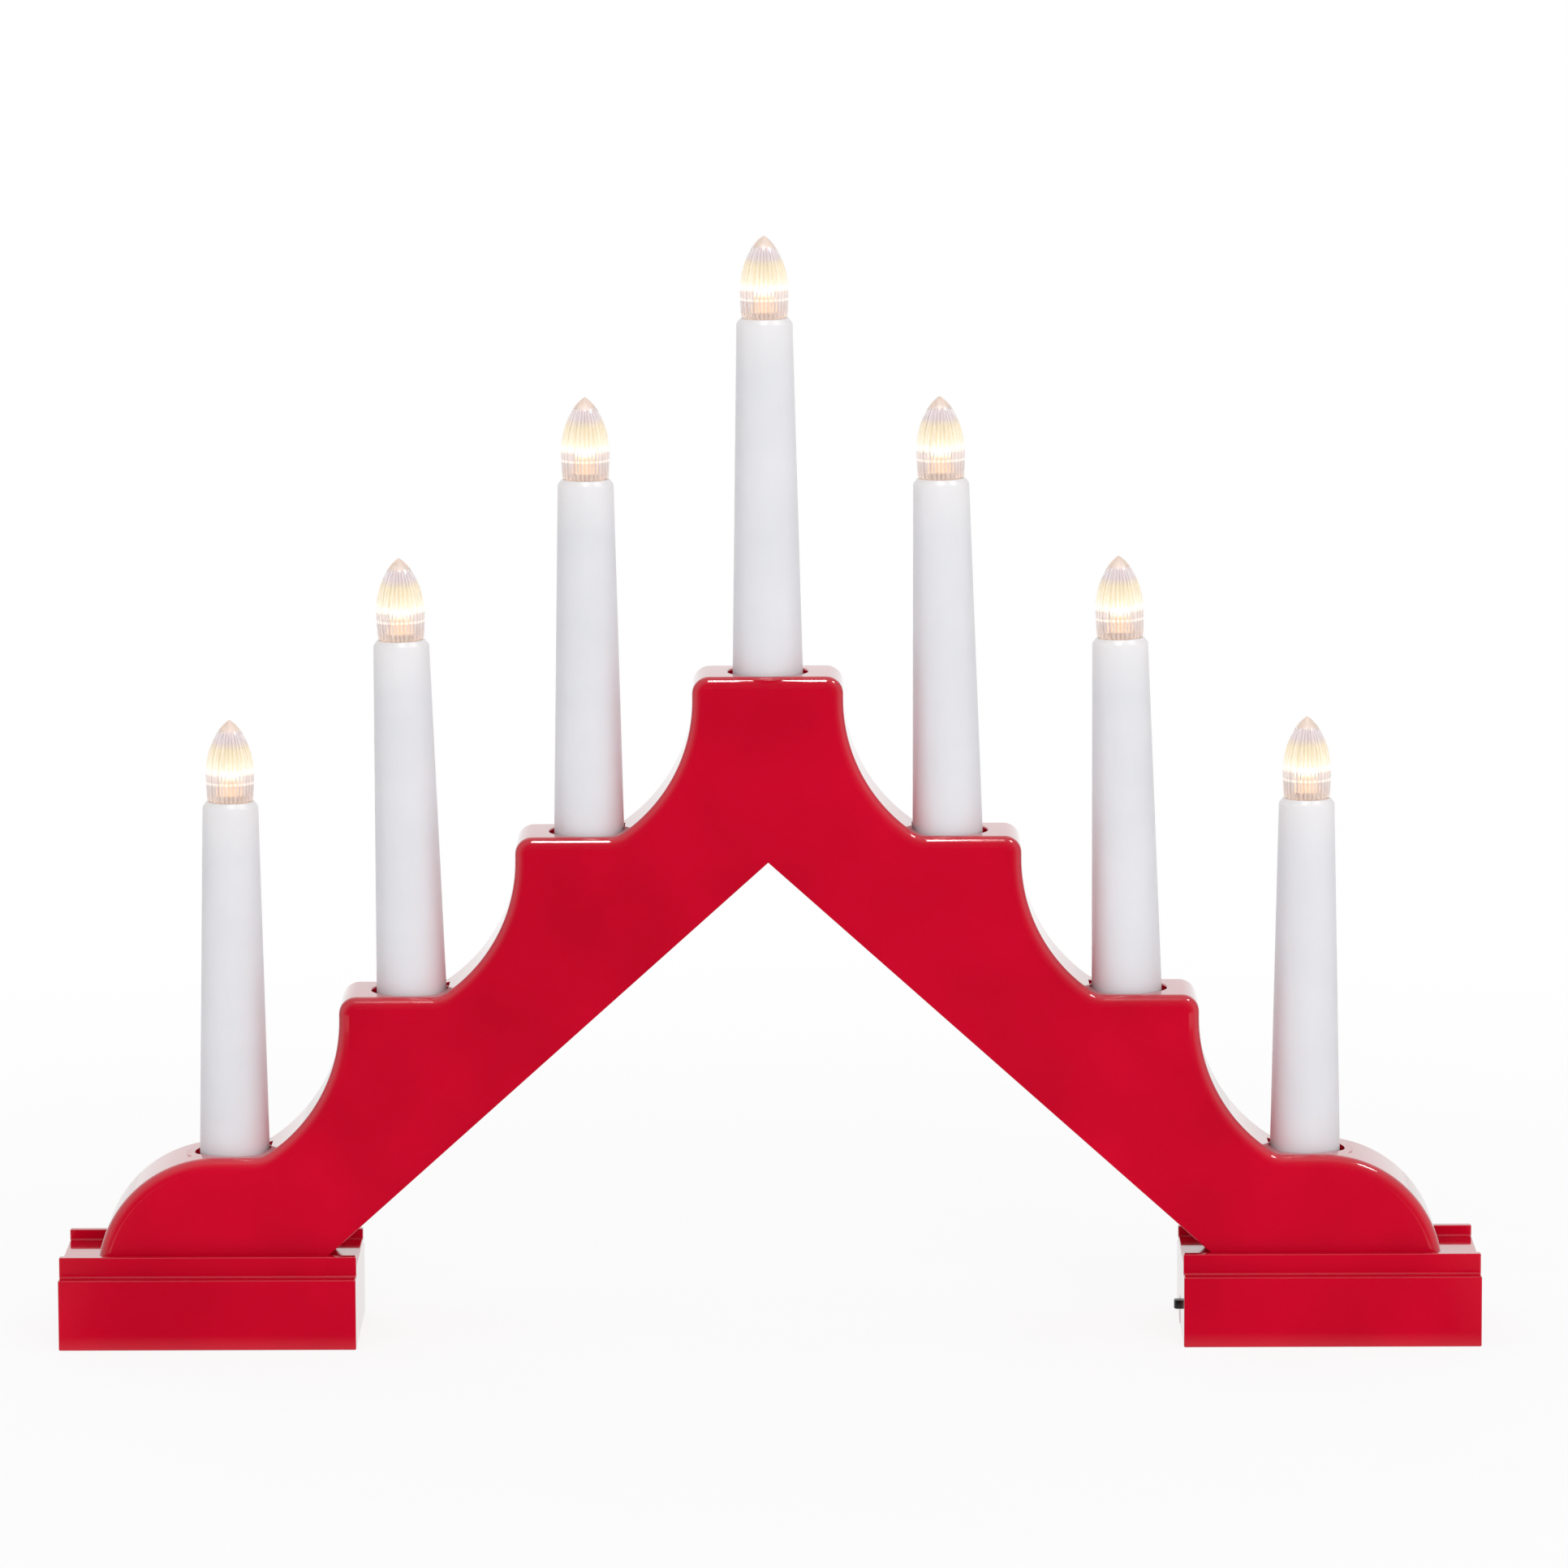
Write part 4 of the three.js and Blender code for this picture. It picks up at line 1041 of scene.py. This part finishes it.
def bulb_outline(wall):
    """Half section of a flame bulb, its inner wall first, and how many points that has."""
    base, waist, tip = BULB_BASE, BULB_BASE + BULB_WAIST, BULB_BASE + BULB_HEIGHT
    inner = flame_curve(FLAME_RADIUS - wall, waist, tip - FLAME_TIP, 18)[::-1]
    inner += [(5.03 - wall, base + 3.2), (4.95 - wall, base + 1.6), (4.9 - wall, base + wall)]
    neck, end = NECK_RADIUS, base - NECK_LENGTH
    outer = [(neck - wall, base), (neck - wall, end), (neck - 0.2, end), (neck, base - 4.5)]
    outer += [(neck, base), (4.8, base), (4.9, base + 0.12), (4.99, base + 1.8)]
    outer.append((5.08, base + 3.6))
    return inner + outer + flame_curve(FLAME_RADIUS, waist, tip, 26), len(inner)


def rib_tree():
    """Raises even ribs on the inner wall, where the mesh has its rib attribute."""
    tree, given = geometry_tree(
        "flame_ribs",
        {
            "Ribs": ("NodeSocketInt", 32),
            "Rib Depth": ("NodeSocketFloat", 0.2 * MM),
            "Material": ("NodeSocketMaterial", None),
        },
    )
    place = add_node(tree, "GeometryNodeInputPosition").outputs[0]
    split = add_node(tree, "ShaderNodeSeparateXYZ", {0: place}).outputs
    turn = computed(tree, "ARCTAN2", split["Y"], split["X"])
    wave = computed(tree, "COSINE", computed(tree, "MULTIPLY", turn, given["Ribs"]))
    crest = computed(tree, "MULTIPLY_ADD", wave, 0.5, 0.5)
    here = add_node(tree, "GeometryNodeInputNamedAttribute", {"Name": "rib"}, data_type="FLOAT")
    depth = computed(tree, "MULTIPLY", given["Rib Depth"], here.outputs["Attribute"])
    vector = "ShaderNodeVectorMath"
    flat = computed(tree, "MULTIPLY", place, (-1.0, -1.0, 0.0), kind=vector)
    inward = computed(tree, "NORMALIZE", flat, kind=vector)
    inputs = {0: inward, "Scale": computed(tree, "MULTIPLY", crest, depth)}
    shift = add_node(tree, vector, inputs, operation="SCALE").outputs[0]
    inputs = {"Geometry": given["Geometry"], "Offset": shift}
    raised = add_node(tree, "GeometryNodeSetPosition", inputs).outputs["Geometry"]
    return close_tree(tree, raised, given["Material"])


class CANDLESTICK_OT_bulbs(bpy.types.Operator):
    """Makes the seven clear flame bulbs, ribbed inside"""

    bl_idname = "candlestick.bulbs"
    bl_label = "Flame Bulbs"

    def execute(self, context):
        sizes = context.scene.candlestick_sizes
        values = {"Ribs": sizes.bulb_ribs, "Rib Depth": sizes.rib_depth}
        values["Material"] = finish_of("bulb")
        tree = rib_tree()
        outline, inner_count = bulb_outline(FLAME_WALL)
        wall = {round(z, 4): radius for radius, z in outline[:inner_count]}
        top = BULB_BASE + BULB_HEIGHT - RIB_TOP + RIB_FADE
        for i in range(CANDLES):
            bulb = turned(f"flame_{i + 1}", outline, sizes.bulb_ribs * SIDES_PER_RIB)
            rib = bulb.data.attributes.new("rib", "FLOAT", "POINT")
            for k, vertex in enumerate(bulb.data.vertices):
                radius, z = math.hypot(vertex.co.x, vertex.co.y) / MM, vertex.co.z / MM
                on_wall = abs(wall.get(round(z, 4), -9) - radius) < 0.05
                rib.data[k].value = max(0.0, min(1.0, (top - z) / RIB_FADE)) if on_wall else 0.0
            run_tree(keep_height(bulb), tree, values)
            smooth(moved(bulb, candle_frame(i)), 50)
            dressed(bulb, None, "flame_clear", f"bulb_{i + 1}", f"flame_bulb_{i + 1}")
        return {"FINISHED"}


def lamp_form(name):
    """A lamp's lens on its flange, with its two pins."""
    top = LAMP_LOW + LAMP_HEIGHT
    flange = LAMP_LOW + FLANGE_HEIGHT
    lens = [(0, LAMP_LOW), (FLANGE_RADIUS, LAMP_LOW), (FLANGE_RADIUS, flange)]
    dome = arc(0, top - LENS_RADIUS, LENS_RADIUS, 0, 90, 8)[:-1]
    lens += [(LENS_RADIUS, flange), *dome, (0, top)]
    bodies = [turned(name, softened(lens, 0.12, 2), 40)]
    ends = (PIN_END, LAMP_LOW + 0.5)
    for x in (-PIN_OFFSET, PIN_OFFSET):
        bodies.append(block("pin", span(x, PIN_HALF), span(0, PIN_HALF), ends, 0.06, 1))
    return keep_height(joined(name, bodies))


def holder_form(name):
    """A lamp holder with the holes for the pins."""
    low, step, high = HOLDER_LOW, HOLDER_STEP, HOLDER_HIGH
    outline = [(0, low), (HOLDER_RADIUS, low), (HOLDER_RADIUS, step)]
    outline += [(HOLDER_NECK, step), (HOLDER_NECK, high), (0, high)]
    holder = turned(name, softened(outline, 0.25, 2), 56)
    ends = (low - OVERRUN, high + OVERRUN)
    holes = [
        block("hole", span(x, PIN_HOLE_HALF), span(0, PIN_HOLE_HALF), ends)
        for x in (-PIN_OFFSET, PIN_OFFSET)
    ]
    return combined(holder, holes, "DIFFERENCE")


class CANDLESTICK_OT_lamps(bpy.types.Operator):
    """Makes the lamps inside the bulbs and the holders in the candles"""

    bl_idname = "candlestick.lamps"
    bl_label = "Lamps and Holders"

    def execute(self, context):
        for i in range(CANDLES):
            lamp = smooth(moved(lamp_form(f"lamp_{i + 1}"), candle_frame(i)))
            dressed(lamp, "lamp", "lamp", ROOT, f"led_{i + 1}")
            holder = smooth(moved(holder_form(f"holder_{i + 1}"), candle_frame(i)))
            dressed(holder, "holder", "holder_white", ROOT, f"lamp_holder_{i + 1}")
        return {"FINISHED"}


# ---------------------------------------------------------------- underside


def bottom_plate(name, xs, notch=None):
    """A plate that closes the right foot from below, with a tongue along each side."""
    reach = BAY_HALF - SEAT_GAP
    tongue = BAY_HALF + TONGUE_REACH - SEAT_GAP
    left = [(-reach, LID_LOW), (-reach, TONGUE_LOW), (-tongue, TONGUE_LOW), (-tongue, LID_TOP)]
    profile = left + [(-y, z) for y, z in reversed(left)]
    plate = rounded(beam(name, xs, profile), 0.15, 2, 40)
    if notch:
        combined(plate, [notch], "DIFFERENCE")
    return plate


def ridge_tree():
    """Repeats one grip ridge in even steps along X, beside the plate that carries it."""
    tree, given = geometry_tree(
        "grip_ridges",
        {
            "Ridge": ("NodeSocketObject", None),
            "Count": ("NodeSocketInt", 4),
            "Step": ("NodeSocketVector", (0.0, 0.0, 0.0)),
            "Material": ("NodeSocketMaterial", None),
        },
    )
    inputs = {"Count": given["Count"], "Offset": given["Step"]}
    line = add_node(tree, "GeometryNodeMeshLine", inputs).outputs["Mesh"]
    rows = repeated(tree, line, given["Ridge"])
    both = add_node(tree, "GeometryNodeJoinGeometry", {"Geometry": rows})
    tree.links.new(given["Geometry"], both.inputs["Geometry"])
    return close_tree(tree, both.outputs["Geometry"], given["Material"])


def with_ridges(body, tree, ridge, count, step, finish):
    """Adds a row of ridges to a piece, a step in millimetres apart."""
    values = {"Ridge": ridge, "Count": count, "Step": [s * MM for s in step]}
    values["Material"] = finish_of(finish)
    run_tree(body, tree, values)
    bpy.data.objects.remove(ridge)
    return body


class CANDLESTICK_OT_covers(bpy.types.Operator):
    """Makes the sliding battery lids and the fixed plates, and finishes the arch's cover"""

    bl_idname = "candlestick.covers"
    bl_label = "Lids and Covers"

    def execute(self, context):
        tree = ridge_tree()
        end = FOOT_OUTER - LID_END_GAP
        under = (LID_LOW - RIDGE_DROP, LID_LOW + RIDGE_ROOT)
        room = (SWITCH_ROOM[0] + SEAT_GAP, BAY[0] - SEAT_GAP)
        for side in ("left", "right"):
            right = side == "right"
            lid = bottom_plate(f"sliding_lid_{side}", (BAY[0], end))
            across, along = RIDGE_HALF
            ridge = block("ridge", span(end - RIDGE_START, across), span(0, along), under, 0.22, 3)
            with_ridges(lid, tree, ridge, 4, (-RIDGE_STEP, 0, 0), "red")
            notch = block("notch", *SWITCH_NOTCH) if right else None
            plate = bottom_plate(f"room_plate_{side}", room, notch)
            for body, carrier, node in (
                (lid, f"lid_{side}", f"battery_lid_{side}"),
                (plate, ROOT, f"compartment_cover_{side}"),
            ):
                if not right:
                    mirrored(body)
                smooth(body, 35)
                dressed(body, "red", "red_shell", carrier, node)
        refinish("red", "underside_cover")
        return {"FINISHED"}


def refinish(key, *nodes):
    """Gives CAD nodes that are shown as they are a better material."""
    for name in nodes:
        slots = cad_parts[name].data.materials
        slots.clear()
        slots.append(finish_of(key))


def screw_form(name, length):
    """A self-tapping pan head screw with a cross recess, its head's underside at height 0."""
    pitch, flank, core, crest = 0.9, 0.3, 0.82, 1.12
    outline = [(0, -1.4), (1.5, -1.4), (1.95, -1.2), (2.25, -0.75), (2.3, 0), (1.1, 0)]
    z = pitch
    while z < length - 2.2:
        outline += [(core, z), (crest, z + flank), (core, z + 2 * flank)]
        z += pitch
    outline += [(0.8, length - 1.4), (0, length)]
    form = turned(name, outline, 40)
    wide, narrow, deep = span(0, 1.3), span(0, 0.24), (-2, -0.75)
    arms = [block("arm", wide, narrow, deep), block("arm", narrow, wide, deep)]
    return smooth(combined(form, arms, "DIFFERENCE"))


def screw_tree():
    """Puts a screw on each point of the piece, turned as the point says."""
    tree, given = geometry_tree(
        "screw_places",
        {"Screw": ("NodeSocketObject", None), "Material": ("NodeSocketMaterial", None)},
    )
    kind = "GeometryNodeInputNamedAttribute"
    lean = add_node(tree, kind, {"Name": "lean"}, data_type="FLOAT_VECTOR").outputs["Attribute"]
    turn = add_node(tree, "FunctionNodeEulerToRotation", {0: lean}).outputs[0]
    placed = repeated(tree, given["Geometry"], given["Screw"], Rotation=turn)
    return close_tree(tree, placed, given["Material"])


def screws_at(name, tree, length, places, leans):
    """One mesh of the same screw at several places in millimetres, each turned its own way."""
    form = screw_form("screw", length)
    body = new_object(name, places, [])
    layer = body.data.attributes.new("lean", "FLOAT_VECTOR", "POINT")
    for i, lean in enumerate(leans):
        turn = Matrix.Rotation(lean, 3, "Y") @ Matrix.Rotation(0.5 + i, 3, "Z")
        layer.data[i].vector = turn.to_euler()
    run_tree(body, tree, {"Screw": form, "Material": finish_of("screw")})
    bpy.data.objects.remove(form)
    return body


class CANDLESTICK_OT_screws(bpy.types.Operator):
    """Makes the screws of the arch's cover and of the legs"""

    bl_idname = "candlestick.screws"
    bl_label = "Screws"

    def execute(self, context):
        tree = screw_tree()
        leans = [math.copysign(UNDER_ANGLE, x) for x in COVER_SCREWS]
        gap = COVER_RECESS - SEAT_GAP
        places = []
        for x, lean in zip(COVER_SCREWS, leans):
            places.append((x + gap * math.sin(lean), 0, under_line(x) + gap * math.cos(lean)))
        cover = screws_at("cover_screws", tree, COVER_SCREW_LENGTH, places, leans)
        nodes = [f"cover_screw_{i + 1}" for i in range(4)]
        dressed(cover, None, "screw_steel", ROOT, *nodes)
        places = [(x, 0, DECK_CEILING) for x in LEG_SCREWS]
        legs = screws_at("leg_screws", tree, LEG_SCREW_LENGTH, places, [0.0] * 4)
        nodes = [f"leg_screw_{i + 1}" for i in range(4)]
        dressed(legs, None, "screw_steel", ROOT, *nodes)
        return {"FINISHED"}


# ---------------------------------------------------------------- switch and electrics


class CANDLESTICK_OT_switch(bpy.types.Operator):
    """Makes the black slide knob with its grip ridges, and finishes the switch behind it"""

    bl_idname = "candlestick.switch"
    bl_label = "Slide Switch"

    def execute(self, context):
        face = FOOT_INNER - KNOB_REACH
        half_y, half_z = KNOB_HALF
        (y0, y1), (z0, z1) = span(SWITCH_Y, half_y), span(KNOB_Z, half_z)
        grip = block("grip", (face + 0.2, KNOB_BACK), (y0, y1), (z0, z1), 0.2, 3)
        half_y, half_z = STEM_HALF
        stem = block("stem", STEM_X, span(SWITCH_Y, half_y), span(KNOB_Z, half_z), 0.1, 1)
        combined(grip, [stem], "UNION")
        low = z0 + THUMB_RIDGE_LEAD
        rise = (low, low + THUMB_RIDGE_RISE)
        ridge = block("ridge", (face, face + THUMB_RIDGE), (y0 + 0.2, y1 - 0.2), rise, 0.12, 2)
        grip.name = "slide_knob"
        with_ridges(grip, ridge_tree(), ridge, 3, (0, 0, THUMB_RIDGE_STEP), "black")
        smooth(grip)
        dressed(grip, "black", "switch_black", "knob", "switch_knob")
        refinish("black", "switch_body")
        return {"FINISHED"}


def cell_form(name, y, nub_side):
    """A cell in its film jacket with bright metal ends."""
    length, radius = CELL_LENGTH, CELL_RADIUS
    base = [(0, 0), (3.6, 0), (4.4, 0.15), (4.9, 0.15), (radius, 0.45), (radius, length - 1.5)]
    cap = [(4.9, 1.1), (4.3, 1.1), (4.1, 1.3), (1.9, 1.2), (1.9, 0.2), (1.7, 0), (0, 0)]
    cell = turned(name, base + [(r, length - z) for r, z in cap], 64)
    cell.data.materials.append(finish_of("jacket"))
    cell.data.materials.append(finish_of("nickel"))
    metal_reach = 4.6 * MM
    for face in cell.data.polygons:
        reach = max(math.hypot(*cell.data.vertices[v].co.xy) for v in face.vertices)
        face.material_index = 0 if reach > metal_reach else 1
    turn = Matrix.Rotation(nub_side * math.pi / 2, 4, "Y")
    low = BAY[0] + CONTACT + (SPRING if nub_side > 0 else NUB_GAP)
    place = Vector((low if nub_side > 0 else low + length, y, CELL_Z)) * MM
    return smooth(moved(cell, Matrix.Translation(place) @ turn), 30)


class CANDLESTICK_OT_cells(bpy.types.Operator):
    """Makes the three cells and finishes their contacts"""

    bl_idname = "candlestick.cells"
    bl_label = "Cells and Contacts"

    def execute(self, context):
        rows = (("front", -CELL_PITCH, 1), ("middle", 0.0, -1), ("back", CELL_PITCH, 1))
        for place, y, nub_side in rows:
            cell = cell_form(f"cell_{place}", y, nub_side)
            dressed(cell, None, "cell_jacket", ROOT, f"battery_cell_{place}")
        contacts = ("front_negative", "outer_bridge", "inner_bridge", "back_positive")
        refinish("nickel", *[f"contact_{name}" for name in contacts])
        return {"FINISHED"}


def round_lead(name, points):
    """An insulated lead of round section, 1 mm thick, along a smooth line in millimetres."""
    curve = bpy.data.curves.new(name, "CURVE")
    curve.dimensions = "3D"
    curve.bevel_depth = 0.5 * MM
    curve.bevel_resolution = 4
    curve.use_fill_caps = True
    curve.resolution_u = 8
    spline = curve.splines.new("BEZIER")
    spline.bezier_points.add(len(points) - 1)
    for knot, place in zip(spline.bezier_points, points):
        knot.co = Vector(place) * MM
        knot.handle_left_type = knot.handle_right_type = "AUTO"
    line = linked(name, curve)
    bpy.context.view_layer.update()
    seen = line.evaluated_get(bpy.context.evaluated_depsgraph_get())
    mesh = bpy.data.meshes.new_from_object(seen)
    bpy.data.objects.remove(line)
    return smooth(outward(linked(name, mesh)), 60)


def lead_routes():
    """Each lead's finish and the places it runs through."""
    pin_x, pin_z = 95.55, 4.45
    y, z = BAY_HALF - 1.4, BAY_CEILING - 1.2
    return {
        "lead_cell_positive": (
            "red_lead",
            (147.2, y, z),
            (125, y, z),
            (104, y, z),
            (99.9, y, z),
            (96.5, y - 1.5, z - 1.2),
            (pin_x + 1.3, 9.0, pin_z + 2.6),
            (pin_x + 1.2, 5.6, pin_z + 0.3),
            (pin_x + 0.3, 5.0, pin_z),
        ),
        "lead_cell_negative": (
            "black_lead",
            (99.35, -8.8, 11.5),
            (99.25, -8.8, 12.5),
            (98.25, -8.8, 13.4),
            (96.85, -8.8, 13.2),
            (96.65, -8.8, 12.3),
        ),
        "lead_switch": (
            "red_lead",
            (pin_x + 0.3, 2.5, pin_z),
            (pin_x + 1.3, 1.7, pin_z + 0.5),
            (96.85, -0.4, pin_z + 1.8),
            (96.65, -2.7, pin_z + 2.6),
        ),
    }


class CANDLESTICK_OT_electrics(bpy.types.Operator):
    """Makes the insulated leads and finishes the circuit board and the resistor"""

    bl_idname = "candlestick.electrics"
    bl_label = "Board and Leads"

    def execute(self, context):
        for node, (key, *points) in lead_routes().items():
            lead = round_lead(f"{node}_round", points)
            dressed(lead, key, f"lead_{key.split('_')[0]}", ROOT, node)
        refinish("red_lead", "loom_positive")
        refinish("black_lead", "loom_negative")
        refinish("board", "circuit_board")
        refinish("resistor", "resistor")
        return {"FINISHED"}


# ---------------------------------------------------------------- stage


def studio_world():
    """A white surround for what the camera sees, an even light for the matt colours, and for
    reflections a room that is white behind and above the object and dim behind the camera."""
    world = bpy.data.worlds.new("studio")
    world.use_nodes = True
    tree = world.node_tree
    tree.nodes.clear()
    path = add_node(tree, "ShaderNodeLightPath").outputs
    place = add_node(tree, "ShaderNodeTexCoord").outputs["Generated"]
    split = add_node(tree, "ShaderNodeSeparateXYZ", {"Vector": place}).outputs

    def eased(axis, *ends):
        """A smooth change along one direction of the sky."""
        return mapped(tree, split[axis], *ends, interpolation_type="SMOOTHSTEP")

    def chosen(ray, other, value):
        """One value for a kind of ray, and another for the rest."""
        return add_node(tree, "ShaderNodeMix", {0: path[ray], 2: other, 3: value}).outputs[0]

    beside = eased("Y", -1.0, -0.2)
    above = eased("Z", 0.12, 0.4, 0.94, 1.0)
    level = bpy.context.scene.candlestick_sizes.surround_light
    strength = eased("Z", 0.1, 0.9, level, level * 0.85)
    gloss = computed(tree, "MULTIPLY_ADD", beside, above, 0.01)
    strength = chosen("Is Glossy Ray", strength, gloss)
    strength = chosen("Is Transmission Ray", strength, eased("Y", -0.5, 0.6, 0.8, 1.0))
    strength = chosen("Is Camera Ray", strength, 1.0)
    inputs = {"Color": linear("ffffff"), "Strength": strength}
    light = add_node(tree, "ShaderNodeBackground", inputs)
    add_node(tree, "ShaderNodeOutputWorld", {"Surface": light.outputs[0]})
    bpy.context.scene.world = world


def floor_material():
    """Matt white paper: it takes the object's soft shadow and fades into the white surround."""
    material, tree = new_material("matt_white_paper")
    colour = mottled(tree, "ffffff", "fbfbfb", 40 * MM)[1]
    place = object_place(tree)
    path = add_node(tree, "ShaderNodeLightPath").outputs
    paper = add_node(tree, "ShaderNodeBsdfPrincipled", {"Base Color": colour, "Roughness": 0.9})

    def with_white(share, shader, strength):
        """A shader that gives way to plain white light of some strength, by a share."""
        inputs = {"Color": linear("ffffff"), "Strength": strength}
        white = add_node(tree, "ShaderNodeEmission", inputs)
        inputs = {0: share, 1: shader.outputs[0], 2: white.outputs[0]}
        return add_node(tree, "ShaderNodeMixShader", inputs)

    away = add_node(tree, "ShaderNodeVectorMath", {0: place}, operation="LENGTH").outputs["Value"]
    fade = mapped(tree, away, 0.2, 0.5, 0.86)
    seen = with_white(computed(tree, "MULTIPLY", path["Is Camera Ray"], fade), paper, 1.0)
    # In reflections the paper is white, but for the dim strip that the fronts look down on
    split = add_node(tree, "ShaderNodeSeparateXYZ", {"Vector": place}).outputs
    behind = mapped(tree, split["Y"], -0.035, -0.015)
    past = mapped(tree, computed(tree, "ABSOLUTE", split["X"]), 0.145, 0.21)
    shade = ranged(tree, computed(tree, "MAXIMUM", behind, past), 0.012, 0.85)
    return finish_material(material, with_white(path["Is Glossy Ray"], seen, shade))


def lamp_at(name, place, size, power, hidden_from):
    """A soft rectangular lamp that faces the object, without one kind of its light."""
    data = bpy.data.lights.new(name, "AREA")
    data.shape = "RECTANGLE"
    data.size, data.size_y = size
    data.energy = power
    lamp = linked(name, data)
    lamp.location = place
    lamp.rotation_euler = (LAMP_AIM - Vector(place)).to_track_quat("-Z", "Y").to_euler()
    lamp.visible_transmission = False
    setattr(lamp, hidden_from, False)


def front_camera():
    """A long lens in front of the candlestick and a little above it."""
    data = bpy.data.cameras.new("camera")
    data.lens = CAMERA_LENS
    data.sensor_width = CAMERA_SENSOR
    data.clip_start, data.clip_end = 0.1, 20
    flat, down = math.cos(CAMERA_PITCH), -math.sin(CAMERA_PITCH)
    ahead = Vector((math.sin(CAMERA_YAW) * flat, math.cos(CAMERA_YAW) * flat, down))
    right = Vector((math.cos(CAMERA_YAW), -math.sin(CAMERA_YAW), 0))
    above = right.cross(ahead)
    across = right * math.cos(CAMERA_ROLL) + above * math.sin(CAMERA_ROLL)
    upward = above * math.cos(CAMERA_ROLL) - right * math.sin(CAMERA_ROLL)
    turn = Matrix((across, upward, -ahead)).transposed().to_4x4()
    camera = linked("camera", data)
    camera.matrix_world = Matrix.Translation(CAMERA_PLACE) @ turn
    return camera


class CANDLESTICK_OT_stage(bpy.types.Operator):
    """Makes the paper floor, the studio light and the camera"""

    bl_idname = "candlestick.stage"
    bl_label = "Stage"

    def execute(self, context):
        scene = context.scene
        scene.view_settings.view_transform = "Standard"
        reach = FLOOR_REACH
        corners = [(-reach, -reach, 0), (reach, -reach, 0), (reach, reach, 0), (-reach, reach, 0)]
        floor = new_object("paper_floor", corners, [(0, 1, 2, 3)])
        floor.data.materials.append(floor_material())
        studio_world()
        for name, values in STUDIO_LAMPS.items():
            lamp_at(name, *values)
        scene.camera = front_camera()
        return {"FINISHED"}


# ---------------------------------------------------------------- add-on


class CandlestickSizes(bpy.types.PropertyGroup):
    """Sizes that a user would change"""

    wall: bpy.props.FloatProperty(
        name="Wall", description="Wall thickness of the arch", default=0.0018, unit="LENGTH"
    )
    arch_fillet: bpy.props.FloatProperty(
        name="Arch Fillet",
        description="Radius of the arch's long front and back edges",
        default=0.0025,
        unit="LENGTH",
    )
    foot_radius: bpy.props.FloatProperty(
        name="Foot Edge", description="Radius of the feet's edges", default=0.00045, unit="LENGTH"
    )
    round_sides: bpy.props.IntProperty(
        name="Candle Sides", description="Faces round a candle tube", default=96, min=12
    )
    bulb_ribs: bpy.props.IntProperty(
        name="Bulb Ribs", description="Ribs inside each flame bulb", default=32, min=3
    )
    rib_depth: bpy.props.FloatProperty(
        name="Rib Depth",
        description="Depth of the ribs inside a flame bulb",
        default=0.0002,
        unit="LENGTH",
    )
    surround_light: bpy.props.FloatProperty(
        name="Surround", description="Strength of the even studio light", default=0.68
    )


class CandlestickColours(bpy.types.PropertyGroup):
    """Colours that a user would change, as sRGB hex values"""

    red: bpy.props.StringProperty(
        name="Red", description="Main tone of the arch and feet", default="d0062b"
    )
    red_deep: bpy.props.StringProperty(
        name="Deep Red", description="Deeper tone of the arch and feet", default="ba0222"
    )
    candle: bpy.props.StringProperty(
        name="Candle", description="Main tone of the candle tubes", default="e5e5e9"
    )
    candle_shade: bpy.props.StringProperty(
        name="Candle Shade", description="Second tone of the candle tubes", default="dfe0e4"
    )


OPERATORS = (
    CANDLESTICK_OT_stage,
    CANDLESTICK_OT_arch,
    CANDLESTICK_OT_feet,
    CANDLESTICK_OT_candles,
    CANDLESTICK_OT_bulbs,
    CANDLESTICK_OT_lamps,
    CANDLESTICK_OT_covers,
    CANDLESTICK_OT_screws,
    CANDLESTICK_OT_switch,
    CANDLESTICK_OT_cells,
    CANDLESTICK_OT_electrics,
)


class CANDLESTICK_PT_panel(bpy.types.Panel):
    """Lists the candlestick's sizes, colours and pieces"""

    bl_idname = "CANDLESTICK_PT_panel"
    bl_label = "Advent Candlestick"
    bl_space_type = "VIEW_3D"
    bl_region_type = "UI"
    bl_category = "Candlestick"

    def draw(self, context):
        column = self.layout.column(align=True)
        for group in (context.scene.candlestick_sizes, context.scene.candlestick_colours):
            for name in group.__annotations__:
                column.prop(group, name)
        for kind in OPERATORS:
            column.operator(kind.bl_idname)


CLASSES = (CandlestickSizes, CandlestickColours, *OPERATORS, CANDLESTICK_PT_panel)


def register():
    for kind in CLASSES:
        bpy.utils.register_class(kind)
    scene = bpy.types.Scene
    scene.candlestick_sizes = bpy.props.PointerProperty(type=CandlestickSizes)
    scene.candlestick_colours = bpy.props.PointerProperty(type=CandlestickColours)


def unregister():
    del bpy.types.Scene.candlestick_colours
    del bpy.types.Scene.candlestick_sizes
    for kind in reversed(CLASSES):
        bpy.utils.unregister_class(kind)


def main():
    """Builds every piece."""
    register()
    for kind in OPERATORS:
        group, name = kind.bl_idname.split(".")
        getattr(getattr(bpy.ops, group), name)()


if __name__ == "__main__":
    main()
